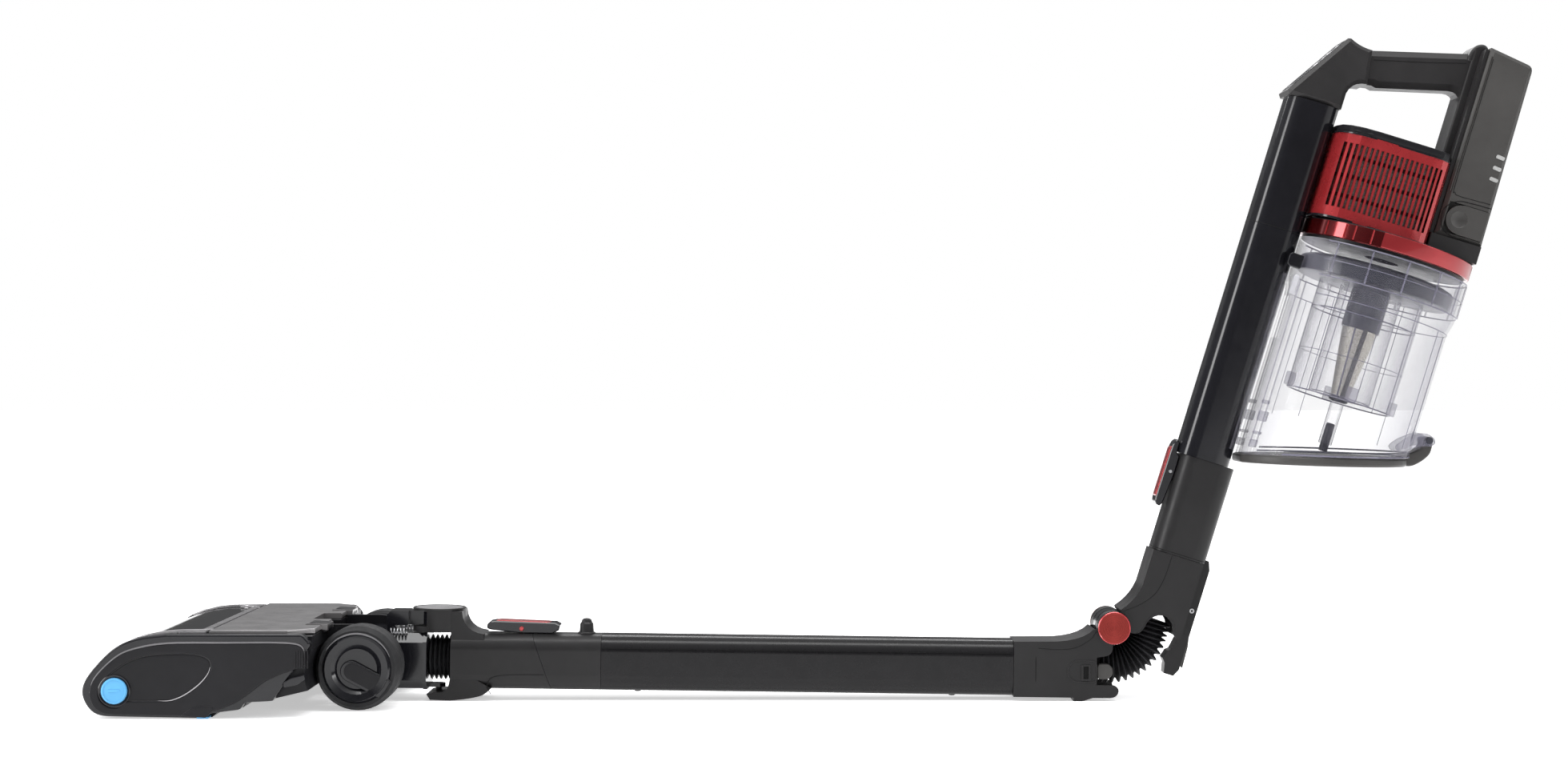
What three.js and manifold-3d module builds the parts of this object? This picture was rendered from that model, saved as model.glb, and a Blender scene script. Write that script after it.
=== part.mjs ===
// Cordless stick vacuum with a folding wand, shown bent: floor head and lower wand lie flat,
// the upper wand and hand unit lean back from the fold. Millimetres, +Z up, +X from the nose
// of the floor head towards the handle, Y across. The origin is on the floor, under the sole bar.
import * as THREE from 'three';
import { mergeVertices } from 'three/addons/utils/BufferGeometryUtils.js';
import Module from 'manifold-3d';

const wasm = await Module();
wasm.setup();

// ---------------------------------------------------------------- driving dimensions
const GAP = 0.3;                  // clearance left between parts that touch
const RUN = 0.5;                  // clearance round parts that turn or slide

const HEAD_WIDTH = 250;           // floor head over its end caps
const CAP_THICK = 12;             // end cap
const HEAD_TOP = 64.6;            // top line of the end caps
const SOLE_FRONT = -3.5;          // sole bar behind the brush roll
const SOLE_REAR = 9;
const BUMPER_THICK = 2.2;
const WINDOW_THICK = 2;
const ROLLER_X = -63;             // front soft roller
const ROLLER_R = 20;
const BRUSH_X = -21.5;            // brush roll
const BRUSH_R = 17;
const ROLLER_Z = 21.6;
const JOURNAL_R = 4;
const ROLLER_PULLEY_R = 10;
const BRUSH_PULLEY_R = 8;
const MOTOR_PULLEY_R = 5;
const BELT_THICK = 1.4;
const BELT_WIDTH = 4;
const MOTOR_X = 44;               // brush motor
const MOTOR_Z = 40;
const MOTOR_R = 15;
const KNOB_R = 10;
const NOTCH_X = 70;               // the raised neck drops into a notch behind this place
const NECK_ARM_HALF = 13;

const AXLE_X = 114.4;             // wheels and neck pitch pivot
const AXLE_Z = 33;
const WHEEL_R = 33;
const WHEEL_INNER = 46;           // wheel faces, measured from the middle plane
const WHEEL_OUTER = 83;
const TYRE_THICK = 6;
const AXLE_R = 4;
const DRUM_R = 24;                // neck drum between the side arms
const DRUM_HALF = 37;
const ARM_THICK = 4.5;
const ARM_R = 31;

const HINGE_X = 712.9;            // fold hinge
const HINGE_Z = 59.4;
const DROOP = 0.75;               // lower wand slopes down to the hinge, degrees
const LEAN = 17.2;                // upper unit leans back from upright, degrees
const BARREL_R = 13;
const HINGE_PIN_R = 4;
const HINGE_CAP_THICK = 3;

const WAND_WIDTH = 42;            // wand section
const BARREL_PROUD = 3;           // hinge barrel past each side of the wand
const BARREL_HALF = WAND_WIDTH / 2 + BARREL_PROUD;
const WAND_HEIGHT = 44.5;
const WAND_DEPTH = 34.7;          // wand centre line below the hinge axis
const WAND_CORNER = 13;
const WALL = 2.4;
const STEER_AT = 168.4;           // steer pivot, from the origin
const STEER_X = STEER_AT - HINGE_X;  // and from the hinge, as are the places below
const SOCKET_TOP = STEER_X + 76.5;   // slanted joint between nozzle socket and sleeve
const SOCKET_BOTTOM = STEER_X + 92.9;
const SPIGOT_LENGTH = 34;
const SLEEVE_END = STEER_X + 132.5;
const TUBE_END = -80;
const TURRET_R = 21.3;
const TURRET_TOP = 7.5;
const CORE_R = 14;
const DUCT_END = STEER_X - 7.5;
const SOCKET_START = STEER_X + 11.5;
const NECK_BELLOWS_R = 18;
const NECK_BELLOWS_RISE = 1.8;
const FOLD_BELLOWS_R = 15.6;
const PARKING_PIN_X = STEER_X + 119.5;

const STUB_START = 70;            // upper wand, measured up from the hinge
const STUB_END = 150;
const STUB_FRONT = 12.5;
const HAND_FRONT = 9.5;           // hand unit main tube
const HAND_REAR = 52;
const HAND_TUBE_TOP = 452;
const HAND_WIDTH = 44;
const CUP_FRONT = 56.5;           // dust cup wall, facing the tube
const CUP_R = 66.5;
const CUP_X = CUP_FRONT + CUP_R;  // dust cup axis
const CUP_WALL = 2.4;
const CUP_TOP = 347;
const BAND_BOTTOM = 349.5;        // red band above the cup
const BAND_TOP = 363;
const BAND_R = CUP_R + 3;
const MOTOR_TOP = 436;
const MOTOR_FRONT = 52.6;
const MOTOR_REAR = 146;
const MOTOR_HALF = 47;
const BATTERY_FRONT = 150;
const BATTERY_REAR = 189;
const BATTERY_HALF = 35;
const BATTERY_BOTTOM = 378;
const BATTERY_TOP = 531;
const GRIP_WIDTH = 30;
const ARM_LOW = -6.4;             // bracket arm inside the turret
const ARM_HIGH = 5;
const ARM_SWING = 1.2;            // half the angle that the turret leaves free for the arm, radians
const EYE_SPLIT = 11.3;           // knuckles: middle barrel, upper eyes, lower eyes
const EYE_MID = 17.4;
const SLOPE_START = { x: 6.4, z: 455.4 };
const SLOPE_LENGTH = 63.3;
const SLOPE_ANGLE = THREE.MathUtils.degToRad(57.5);
const PANEL_DEEP = 3.4;
const PANEL_THICK = 1.6;
const BUTTON_R = 4.6;
const BUTTONS = { power_button: [52, 0], mode_button: [38, 0] };
const MOTOR_BODY_R = 34;
const EXHAUST_R = 42;
const SLOTS = 20;
const SLOT_FIRST = 60;
const SLOT_PITCH = 4.1;
const SLOT_WIDTH = 2.2;
const INLET_HALF = 11;
const INLET_LOW = 262;
const INLET_HIGH = 298;
const POST_FRONT = 141;
const FLANGE_R = CUP_R + 3.5;
const LID_ANGLE = THREE.MathUtils.degToRad(15.6);
const LID_FRONT = { x: CUP_FRONT, z: 156.5 };  // lower front corner of the lid
const LID_THICK = 7;
const LID_HINGE_OUT = 10.5;       // lid hinge, out from the cup wall and up from the lid
const LID_HINGE_UP = 22.434;
const LID_RUN = 2 * CUP_R + LID_HINGE_OUT;
const LID_HINGE = {
  x: CUP_FRONT + LID_RUN,
  z: LID_FRONT.z + LID_RUN * Math.tan(LID_ANGLE) + LID_HINGE_UP,
};
const RAIL_HALF = 23;
const RAIL_WIDTH = 8;

const HALF_TURN = Math.PI;
const droop = THREE.MathUtils.degToRad(DROOP);
const capInner = HEAD_WIDTH / 2 - CAP_THICK;
const bodyHalf = capInner - GAP;

// ---------------------------------------------------------------- scene helpers
const part = new THREE.Group();
const wand = new THREE.Group();   // x along the lower wand towards the hinge, origin on the hinge
wand.position.set(HINGE_X, 0, HINGE_Z);
wand.rotation.y = droop;
const upper = new THREE.Group();  // z up along the upper unit, x to its back, origin on the hinge
upper.position.set(HINGE_X, 0, HINGE_Z);
upper.rotation.y = THREE.MathUtils.degToRad(LEAN);
part.add(wand, upper);

const LOOKS = {
  black: [0x17171a, 0.35, 0],
  charcoal: [0x3a3938, 0.5, 0],
  gloss: [0x0e0e12, 0.12, 0],
  silver: [0x6e6c6e, 0.35, 0.6],
  trim: [0xa9a7aa, 0.3, 0.7],
  red: [0xa0282d, 0.3, 0.8],
  blue: [0x3ca0e1, 0.45, 0],
  clear: [0xd8d6e6, 0.1, 0],
  smoke: [0x24262c, 0.1, 0],
  rubber: [0x141414, 0.8, 0],
  steel: [0x9a9a9c, 0.35, 1],
  grey: [0x55585f, 0.7, 0],
  felt: [0xb09a78, 0.9, 0],
};

function add(group, name, look, shape) {
  const geometry = shape instanceof THREE.BufferGeometry ? shape : toGeometry(shape);
  const [color, roughness, metalness] = LOOKS[look];
  const mesh = new THREE.Mesh(geometry, new THREE.MeshStandardMaterial({ color, roughness, metalness }));
  mesh.name = name;
  group.add(mesh);
  return mesh;
}

// ---------------------------------------------------------------- solids
function toSolid(geometry) {
  const bare = geometry.clone();
  bare.deleteAttribute('normal');
  bare.deleteAttribute('uv');
  const merged = mergeVertices(bare, 1e-4);
  const vertProperties = new Float32Array(merged.attributes.position.array);
  const triVerts = new Uint32Array(merged.index.array);
  return new wasm.Manifold(new wasm.Mesh({ numProp: 3, vertProperties, triVerts }));
}

function toGeometry(solid) {
  const mesh = solid.getMesh();
  const geometry = new THREE.BufferGeometry();
  geometry.setAttribute('position', new THREE.BufferAttribute(new Float32Array(mesh.vertProperties), 3));
  geometry.setIndex(new THREE.BufferAttribute(new Uint32Array(mesh.triVerts), 1));
  geometry.computeVertexNormals();
  return geometry;
}

function join(first, ...others) {
  return others.reduce((whole, other) => whole.add(other), first);
}

function cut(first, ...others) {
  return others.reduce((whole, other) => whole.subtract(other), first);
}

function shapeOf(points) {
  return new THREE.Shape(points.map(([a, b]) => new THREE.Vector2(a, b)));
}

// rounded rectangle, corners given as [low a, low b, high a, high b]
function roundedRect(lowA, lowB, highA, highB, radius, topRadius = radius) {
  const shape = new THREE.Shape();
  shape.moveTo(lowA + radius, lowB);
  shape.lineTo(highA - radius, lowB);
  shape.absarc(highA - radius, lowB + radius, radius, -HALF_TURN / 2, 0, false);
  shape.absarc(highA - topRadius, highB - topRadius, topRadius, 0, HALF_TURN / 2, false);
  shape.absarc(lowA + topRadius, highB - topRadius, topRadius, HALF_TURN / 2, HALF_TURN, false);
  shape.absarc(lowA + radius, lowB + radius, radius, HALF_TURN, HALF_TURN * 1.5, false);
  return shape;
}

function circle(a, b, radius) {
  const shape = new THREE.Shape();
  shape.absarc(a, b, radius, 0, 2 * HALF_TURN, false);
  return shape;
}

// prism across Y from an outline in x and z
function prismY(shape, y0, y1, steps = 4, bevel = 0) {
  const options = { depth: y1 - y0 - 2 * bevel, curveSegments: steps, bevelEnabled: bevel > 0 };
  if (bevel > 0) {
    Object.assign(options, { bevelThickness: bevel, bevelSize: bevel, bevelOffset: -bevel, bevelSegments: 1 });
  }
  const geometry = new THREE.ExtrudeGeometry(shape, options);
  geometry.rotateX(HALF_TURN / 2);
  geometry.translate(0, y1 - bevel, 0);
  return toSolid(geometry);
}

// prism up Z from an outline in x and y
function prismZ(shape, z0, z1, steps = 4, bevel = 0) {
  const options = { depth: z1 - z0 - 2 * bevel, curveSegments: steps, bevelEnabled: bevel > 0 };
  if (bevel > 0) {
    Object.assign(options, { bevelThickness: bevel, bevelSize: bevel, bevelOffset: -bevel, bevelSegments: 2 });
  }
  const geometry = new THREE.ExtrudeGeometry(shape, options);
  geometry.translate(0, 0, z0 + bevel);
  return toSolid(geometry);
}

// prism along X from an outline in y and z
function prismX(shape, x0, x1, steps = 4) {
  const options = { depth: x1 - x0, curveSegments: steps, bevelEnabled: false };
  const geometry = new THREE.ExtrudeGeometry(shape, options);
  const turn = new THREE.Matrix4().makeBasis(
    new THREE.Vector3(0, 1, 0), new THREE.Vector3(0, 0, 1), new THREE.Vector3(1, 0, 0));
  geometry.applyMatrix4(turn);
  geometry.translate(x0, 0, 0);
  return toSolid(geometry);
}

// turned solid about an axis through (x, z) along Y, profile as [radius, y]
function turnedY(profile, x, z, sides = 24) {
  const geometry = new THREE.LatheGeometry(profile.map(([r, y]) => new THREE.Vector2(r, y)), sides);
  geometry.translate(x, 0, z);
  return toSolid(geometry);
}

// turned solid about an upright axis through (x, y), profile as [radius, z]
function turnedZ(profile, x, y, sides = 32) {
  const geometry = new THREE.LatheGeometry(profile.map(([r, z]) => new THREE.Vector2(r, z)), sides);
  geometry.rotateX(HALF_TURN / 2);
  geometry.translate(x, y, 0);
  return toSolid(geometry);
}

function rodY(x, z, radius, y0, y1, sides = 20) {
  return turnedY([[0, y0], [radius, y0], [radius, y1], [0, y1]], x, z, sides);
}

function rodZ(x, y, radius, z0, z1, sides = 24) {
  return turnedZ([[0, z0], [radius, z0], [radius, z1], [0, z1]], x, y, sides);
}

function box(x0, x1, y0, y1, z0, z1) {
  const geometry = new THREE.BoxGeometry(x1 - x0, y1 - y0, z1 - z0);
  geometry.translate((x0 + x1) / 2, (y0 + y1) / 2, (z0 + z1) / 2);
  return toSolid(geometry);
}

// the two ends, low first, of a stretch that lies from a to b on one side of the middle plane
function span(side, a, b) {
  return side < 0 ? [-b, -a] : [a, b];
}

function onSide(side, profile) {
  return side < 0 ? profile.map(([r, y]) => [r, -y]).reverse() : profile;
}

// ---------------------------------------------------------------- floor head
const NOSE = [[-83, 5.9], [-88.2, 20], [-83.3, 33.6], [-65, 53], [-47, 61.2], [-23, HEAD_TOP]];

function capOutline(inset = 0) {
  const shape = new THREE.Shape();
  shape.moveTo(-59, 1.7 + inset);
  shape.splineThru(NOSE.map(([x, z]) => new THREE.Vector2(x + inset, z - (z > 30 ? inset : 0))));
  shape.lineTo(80, HEAD_TOP - inset);
  shape.lineTo(86 - inset, 56);
  shape.lineTo(86 - inset, 20.4 + inset);
  shape.lineTo(55.5, 13.4 + inset);
  shape.lineTo(36, 12.5 + inset);
  shape.lineTo(32.6, 7 + inset);
  shape.lineTo(9.7, 4.1 + inset);
  shape.lineTo(6, 0.5 + inset);
  return shape;
}

function endCap(side) {
  const outer = HEAD_WIDTH / 2;
  const cap = cut(prismY(capOutline(), ...span(side, capInner, outer), 3, 1.5),
    rodY(ROLLER_X, ROLLER_Z, JOURNAL_R + GAP, ...span(side, capInner - 1, capInner + 5)),
    rodY(BRUSH_X, ROLLER_Z, JOURNAL_R + GAP, ...span(side, capInner - 1, capInner + 5)),
    rodY(AXLE_X, AXLE_Z, WHEEL_R + 1.5, ...span(side, capInner - 1, outer + 1), 32));
  if (side > 0) return cap;
  return cut(cap, rodY(ROLLER_X, ROLLER_Z, KNOB_R + GAP, ...span(side, outer - 5.5, outer + 1), 28));
}

function headChassis() {
  const chamberR = BRUSH_R + 2.5;
  const section = new THREE.Shape();
  section.moveTo(SOLE_FRONT, 0);
  section.lineTo(SOLE_REAR, 0);
  section.lineTo(SOLE_REAR + 4, 3.5);
  section.lineTo(33, 7.5);
  section.lineTo(37, 13);
  section.lineTo(56, 14);
  section.lineTo(85.5, 21);
  section.lineTo(85.5, 62);
  section.lineTo(7, 62);
  section.lineTo(4, 50);
  section.absarc(BRUSH_X, ROLLER_Z, chamberR + 4, 0.9, -0.6, true);
  let body = prismY(section, -bodyHalf, bodyHalf, 5);
  body = cut(body,
    box(MOTOR_X - MOTOR_R - 2, MOTOR_X + MOTOR_R + 2, 24, 98.5, MOTOR_Z - MOTOR_R - 2, 70),
    box(-20, MOTOR_X + 14, 98.4, bodyHalf + 1, 16, 58),
    box(-20, 95, -18, 18, 18, 48),
    box(12, 74, -bodyHalf + 4, -22, 24, 70),
    box(NOTCH_X + 5, 95, -NECK_ARM_HALF - 1.5, NECK_ARM_HALF + 1.5, 49.5, 70),
    rodY(AXLE_X, AXLE_Z, DRUM_R + 1, -DRUM_HALF, DRUM_HALF, 32));
  for (const side of [-1, 1]) {
    const armInner = DRUM_HALF + GAP;
    const arm = new THREE.Shape();
    arm.moveTo(78, 24);
    arm.lineTo(AXLE_X, AXLE_Z - 14);
    arm.absarc(AXLE_X, AXLE_Z, ARM_R, -1.1, HALF_TURN / 2, false);
    arm.lineTo(87, AXLE_Z + ARM_R);
    arm.lineTo(87, 61.5);
    arm.lineTo(78, 61.5);
    const plate = prismY(arm, ...span(side, armInner, armInner + ARM_THICK), 6);
    const beside = span(side, armInner + ARM_THICK, bodyHalf + 1);
    const wheelRoom = rodY(AXLE_X, AXLE_Z, WHEEL_R + 1.5, ...beside, 32);
    const bore = rodY(AXLE_X, AXLE_Z, AXLE_R + GAP, ...span(side, armInner - 1, armInner + ARM_THICK + 1));
    body = cut(join(cut(body, wheelRoom), plate), bore);
  }
  return body;
}

function curvedPlate(points, offset, thick) {
  const line = points.map(([x, z]) => new THREE.Vector2(x, z));
  const normals = line.map((p, i) => {
    const before = line[Math.max(i - 1, 0)];
    const after = line[Math.min(i + 1, line.length - 1)];
    const along = after.clone().sub(before).normalize();
    return new THREE.Vector2(-along.y, along.x);
  });
  const outer = line.map((p, i) => p.clone().addScaledVector(normals[i], offset));
  const inner = line.map((p, i) => p.clone().addScaledVector(normals[i], offset - thick));
  return new THREE.Shape([...inner, ...outer.reverse()]);
}

const WINDOW_LINE = [[-76, 42.8], [-71, 47.6], [-65, 51.7], [-56, 56.6], [-47, 60], [-35, 62.6], [-23, 63.8],
  [4, 64.2]];
const BUMPER_LINE = [[-84.6, 9], [-86.4, 15], [-86.5, 22], [-84.6, 29], [-81.5, 35.5], [-77.2, 41.2]];

function frontBumper() {
  const strip = prismY(curvedPlate(BUMPER_LINE, 0, BUMPER_THICK), -bodyHalf, bodyHalf);
  return cut(strip, box(-95, -80, -62, 62, 15.5, 32.5));
}

function headlightLens() {
  return prismY(roundedRect(-91.7, 16, -84, 32, 3), -61.5, 61.5, 2);
}

function headWindow() {
  return prismY(curvedPlate(WINDOW_LINE, 0, WINDOW_THICK), -bodyHalf, bodyHalf);
}

function windowTrim() {
  const skin = prismY(curvedPlate(WINDOW_LINE.slice(3), 1.6, 1.3), -bodyHalf, bodyHalf);
  const hole = prismZ(roundedRect(-90, -bodyHalf + 7, -2, bodyHalf - 7, 16), 40, 80, 3);
  return cut(skin, hole);
}

function headTopCover() {
  const deck = new THREE.Shape();
  const rear = 85;
  deck.moveTo(6.5, -bodyHalf);
  deck.lineTo(rear - 18, -bodyHalf);
  deck.lineTo(rear, -bodyHalf + 16);
  deck.lineTo(rear, bodyHalf - 16);
  deck.lineTo(rear - 18, bodyHalf);
  deck.lineTo(6.5, bodyHalf);
  const plate = prismZ(deck, 62.3, 66.6, 3, 1.2);
  const latchLine = shapeOf([[70, 65], [90, 62.4], [90, 67], [74, 67.6]]);
  const latch = side => prismY(latchLine, side * 58 - 13, side * 58 + 13);
  return join(cut(plate, box(NOTCH_X, 95, -TURRET_R - 2, TURRET_R + 2, 50, 80)), latch(-1), latch(1));
}

function roller(x, radius, pulleyR) {
  const y0 = -108;
  const y1 = 97.5;
  const pulley0 = 99.5;
  const tip = capInner + 4;
  return turnedY([
    [0, -tip], [JOURNAL_R, -tip], [JOURNAL_R, y0], [radius, y0], [radius, y1], [JOURNAL_R, y1],
    [JOURNAL_R, pulley0], [pulleyR, pulley0], [pulleyR, capInner - 1], [JOURNAL_R, capInner - 1],
    [JOURNAL_R, tip], [0, tip]], x, ROLLER_Z, 24);
}

// belt loop round two pulleys, from the outer tangents of both circles
function beltLoop(x1, z1, r1, x2, z2, r2, y0) {
  const heading = Math.atan2(z2 - z1, x2 - x1);
  const lap = Math.acos((r1 - r2) / Math.hypot(x2 - x1, z2 - z1));
  const loop = (shape, extra) => {
    shape.absarc(x1, z1, r1 + extra, heading + lap, heading - lap + 2 * HALF_TURN, false);
    shape.absarc(x2, z2, r2 + extra, heading - lap, heading + lap, false);
    return shape;
  };
  const outline = loop(new THREE.Shape(), GAP + BELT_THICK);
  outline.holes.push(loop(new THREE.Path(), GAP));
  return prismY(outline, y0, y0 + BELT_WIDTH, 8);
}

function wheelHub(side) {
  const tyreR = WHEEL_R - TYRE_THICK - GAP;
  const boreR = AXLE_R + GAP;
  const boreEnd = WHEEL_OUTER - 6.5;
  return turnedY(onSide(side, [
    [0, boreEnd], [boreR, boreEnd], [boreR, WHEEL_INNER], [tyreR, WHEEL_INNER], [tyreR, WHEEL_OUTER - 3],
    [tyreR - 2, WHEEL_OUTER], [tyreR - 7, WHEEL_OUTER - 0.5], [tyreR - 11, WHEEL_OUTER - 4],
    [0, WHEEL_OUTER - 4.5]]), AXLE_X, AXLE_Z, 32);
}

function wheelTyre(side) {
  const inner = WHEEL_R - TYRE_THICK;
  return turnedY(onSide(side, [
    [inner, WHEEL_INNER + 2], [WHEEL_R - 2, WHEEL_INNER + 2], [WHEEL_R, WHEEL_INNER + 5],
    [WHEEL_R, WHEEL_OUTER - 9], [WHEEL_R - 3, WHEEL_OUTER - 3], [inner, WHEEL_OUTER - 3],
    [inner, WHEEL_INNER + 2]]), AXLE_X, AXLE_Z, 40);
}

function stubAxle(side) {
  return rodY(AXLE_X, AXLE_Z, AXLE_R, ...span(side, DRUM_HALF - 9, WHEEL_OUTER - 7));
}

add(part, 'head_chassis', 'black', headChassis());
add(part, 'front_bumper', 'black', frontBumper());
add(part, 'headlight_lens', 'clear', headlightLens());
add(part, 'head_window', 'smoke', headWindow());
add(part, 'window_trim', 'trim', windowTrim());
add(part, 'head_top_cover', 'silver', headTopCover());
add(part, 'end_cap_left', 'gloss', endCap(-1));
add(part, 'end_cap_right', 'gloss', endCap(1));
add(part, 'roller_release_knob', 'blue',
  rodY(ROLLER_X, ROLLER_Z, KNOB_R, -HEAD_WIDTH / 2 - 0.8, -HEAD_WIDTH / 2 + 3, 28));
add(part, 'front_roller', 'grey', roller(ROLLER_X, ROLLER_R, ROLLER_PULLEY_R));
add(part, 'brush_roll', 'grey', roller(BRUSH_X, BRUSH_R, BRUSH_PULLEY_R));
add(part, 'roller_belt', 'rubber',
  beltLoop(ROLLER_X, ROLLER_Z, ROLLER_PULLEY_R, BRUSH_X, ROLLER_Z, BRUSH_PULLEY_R, 106));
add(part, 'brush_belt', 'rubber',
  beltLoop(BRUSH_X, ROLLER_Z, BRUSH_PULLEY_R, MOTOR_X, MOTOR_Z, MOTOR_PULLEY_R, 100.5));
add(part, 'brush_motor', 'steel', rodY(MOTOR_X, MOTOR_Z, MOTOR_R, 26, 97.5, 24));
add(part, 'motor_pulley', 'steel', rodY(MOTOR_X, MOTOR_Z, MOTOR_PULLEY_R, 98, 106, 20));
for (const [side, word] of [[-1, 'left'], [1, 'right']]) {
  add(part, `wheel_hub_${word}`, 'gloss', wheelHub(side));
  add(part, `wheel_tyre_${word}`, 'rubber', wheelTyre(side));
  add(part, `wheel_axle_${word}`, 'steel', stubAxle(side));
}

// ---------------------------------------------------------------- neck, in the wand frame
const axleDX = AXLE_X - HINGE_X;
const axleDZ = AXLE_Z - HINGE_Z;
const DRUM_X = axleDX * Math.cos(droop) - axleDZ * Math.sin(droop);
const DRUM_Z = axleDX * Math.sin(droop) + axleDZ * Math.cos(droop);
const wandTop = -WAND_DEPTH + WAND_HEIGHT / 2;
const wandBottom = -WAND_DEPTH - WAND_HEIGHT / 2;
const TURRET_LOW = wandTop + 1.2;

function octagon(halfWidth, low, high, chamfer) {
  return shapeOf([
    [-halfWidth + chamfer, low], [halfWidth - chamfer, low], [halfWidth, low + chamfer],
    [halfWidth, high - chamfer], [halfWidth - chamfer, high], [-halfWidth + chamfer, high],
    [-halfWidth, high - chamfer], [-halfWidth, low + chamfer]]);
}

function neckDuct() {
  const low = wandBottom;
  const high = wandTop;
  const drum = rodY(DRUM_X, DRUM_Z, DRUM_R, -DRUM_HALF, DRUM_HALF, 32);
  const duct = prismX(octagon(22, low, high, 7), DRUM_X + 4, DUCT_END - 3);
  const collar = prismX(octagon(23, low - 0.6, high + 0.6, 7), DUCT_END - 3, DUCT_END);
  const strutFront = STEER_X - 35.5;
  const strut = prismY(shapeOf([
    [DRUM_X + 14, high - 8], [DRUM_X + 27, high - 2], [strutFront, ARM_LOW + 1], [strutFront, ARM_HIGH],
    [strutFront - 2.5, ARM_HIGH], [strutFront - 6, 1]]), -NECK_ARM_HALF, NECK_ARM_HALF);
  const block = box(strutFront - 1, STEER_X - 23.5, -NECK_ARM_HALF, NECK_ARM_HALF, ARM_LOW, ARM_HIGH);
  const arm = box(STEER_X - 25.5, STEER_X, -7, 7, ARM_LOW, ARM_HIGH);
  const core = rodZ(STEER_X, 0, CORE_R, ARM_LOW, ARM_HIGH, 28);
  const tongue = join(
    box(DUCT_END - 1, STEER_X, -5.4, 5.4, low, low + 3),
    rodZ(STEER_X, 0, 5.4, low, low + 3, 16),
  );
  const solid = join(drum, duct, collar, strut, block, arm, core, tongue);
  const mid = (low + high) / 2;
  const neck = cut(solid,
    prismX(circle(0, mid, 13), DRUM_X - DRUM_R - 2, DUCT_END + 1, 8),
    rodZ(STEER_X, 0, 3.2, low - 2, low + 5, 12));
  const trunnion = side => rodY(DRUM_X, DRUM_Z, AXLE_R + RUN, ...span(side, DRUM_HALF - 9.5, DRUM_HALF + 1));
  return cut(neck, trunnion(-1), trunnion(1));
}

function neckBellows() {
  const mid = NECK_BELLOWS_RISE - WAND_DEPTH;
  const x0 = DUCT_END + GAP;
  const x1 = SOCKET_START - GAP;
  const ridges = 5;
  const pitch = (x1 - x0) / ridges;
  const outline = [];
  const inner = NECK_BELLOWS_R - 4.5;
  outline.push([inner, x0]);
  for (let i = 0; i < ridges; i += 1) {
    outline.push([NECK_BELLOWS_R - 3, x0 + pitch * i]);
    outline.push([NECK_BELLOWS_R, x0 + pitch * (i + 0.5)]);
  }
  outline.push([NECK_BELLOWS_R - 3, x1], [inner, x1], [inner, x0]);
  const geometry = new THREE.LatheGeometry(outline.map(([r, x]) => new THREE.Vector2(r, x)), 24);
  geometry.rotateZ(-HALF_TURN / 2);
  geometry.translate(0, 0, mid);
  return toSolid(geometry);
}

add(wand, 'neck_duct', 'gloss', neckDuct());
add(wand, 'neck_bellows', 'rubber', neckBellows());

// ---------------------------------------------------------------- nozzle socket
function wandSection(shrink = 0) {
  const half = WAND_WIDTH / 2 - shrink;
  return roundedRect(-half, wandBottom + shrink, half, wandTop - shrink, WAND_CORNER - shrink * 0.8);
}

function slantCutter(offset) {
  const slope = (SOCKET_BOTTOM - SOCKET_TOP) / (wandTop - wandBottom);
  const reach = 20;
  return prismY(shapeOf([
    [SOCKET_TOP + offset - slope * reach, wandTop + reach],
    [SOCKET_BOTTOM + offset + slope * reach, wandBottom - reach],
    [SOCKET_BOTTOM + 200, wandBottom - reach], [SOCKET_BOTTOM + 200, wandTop + reach]]), -60, 60);
}

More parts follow.
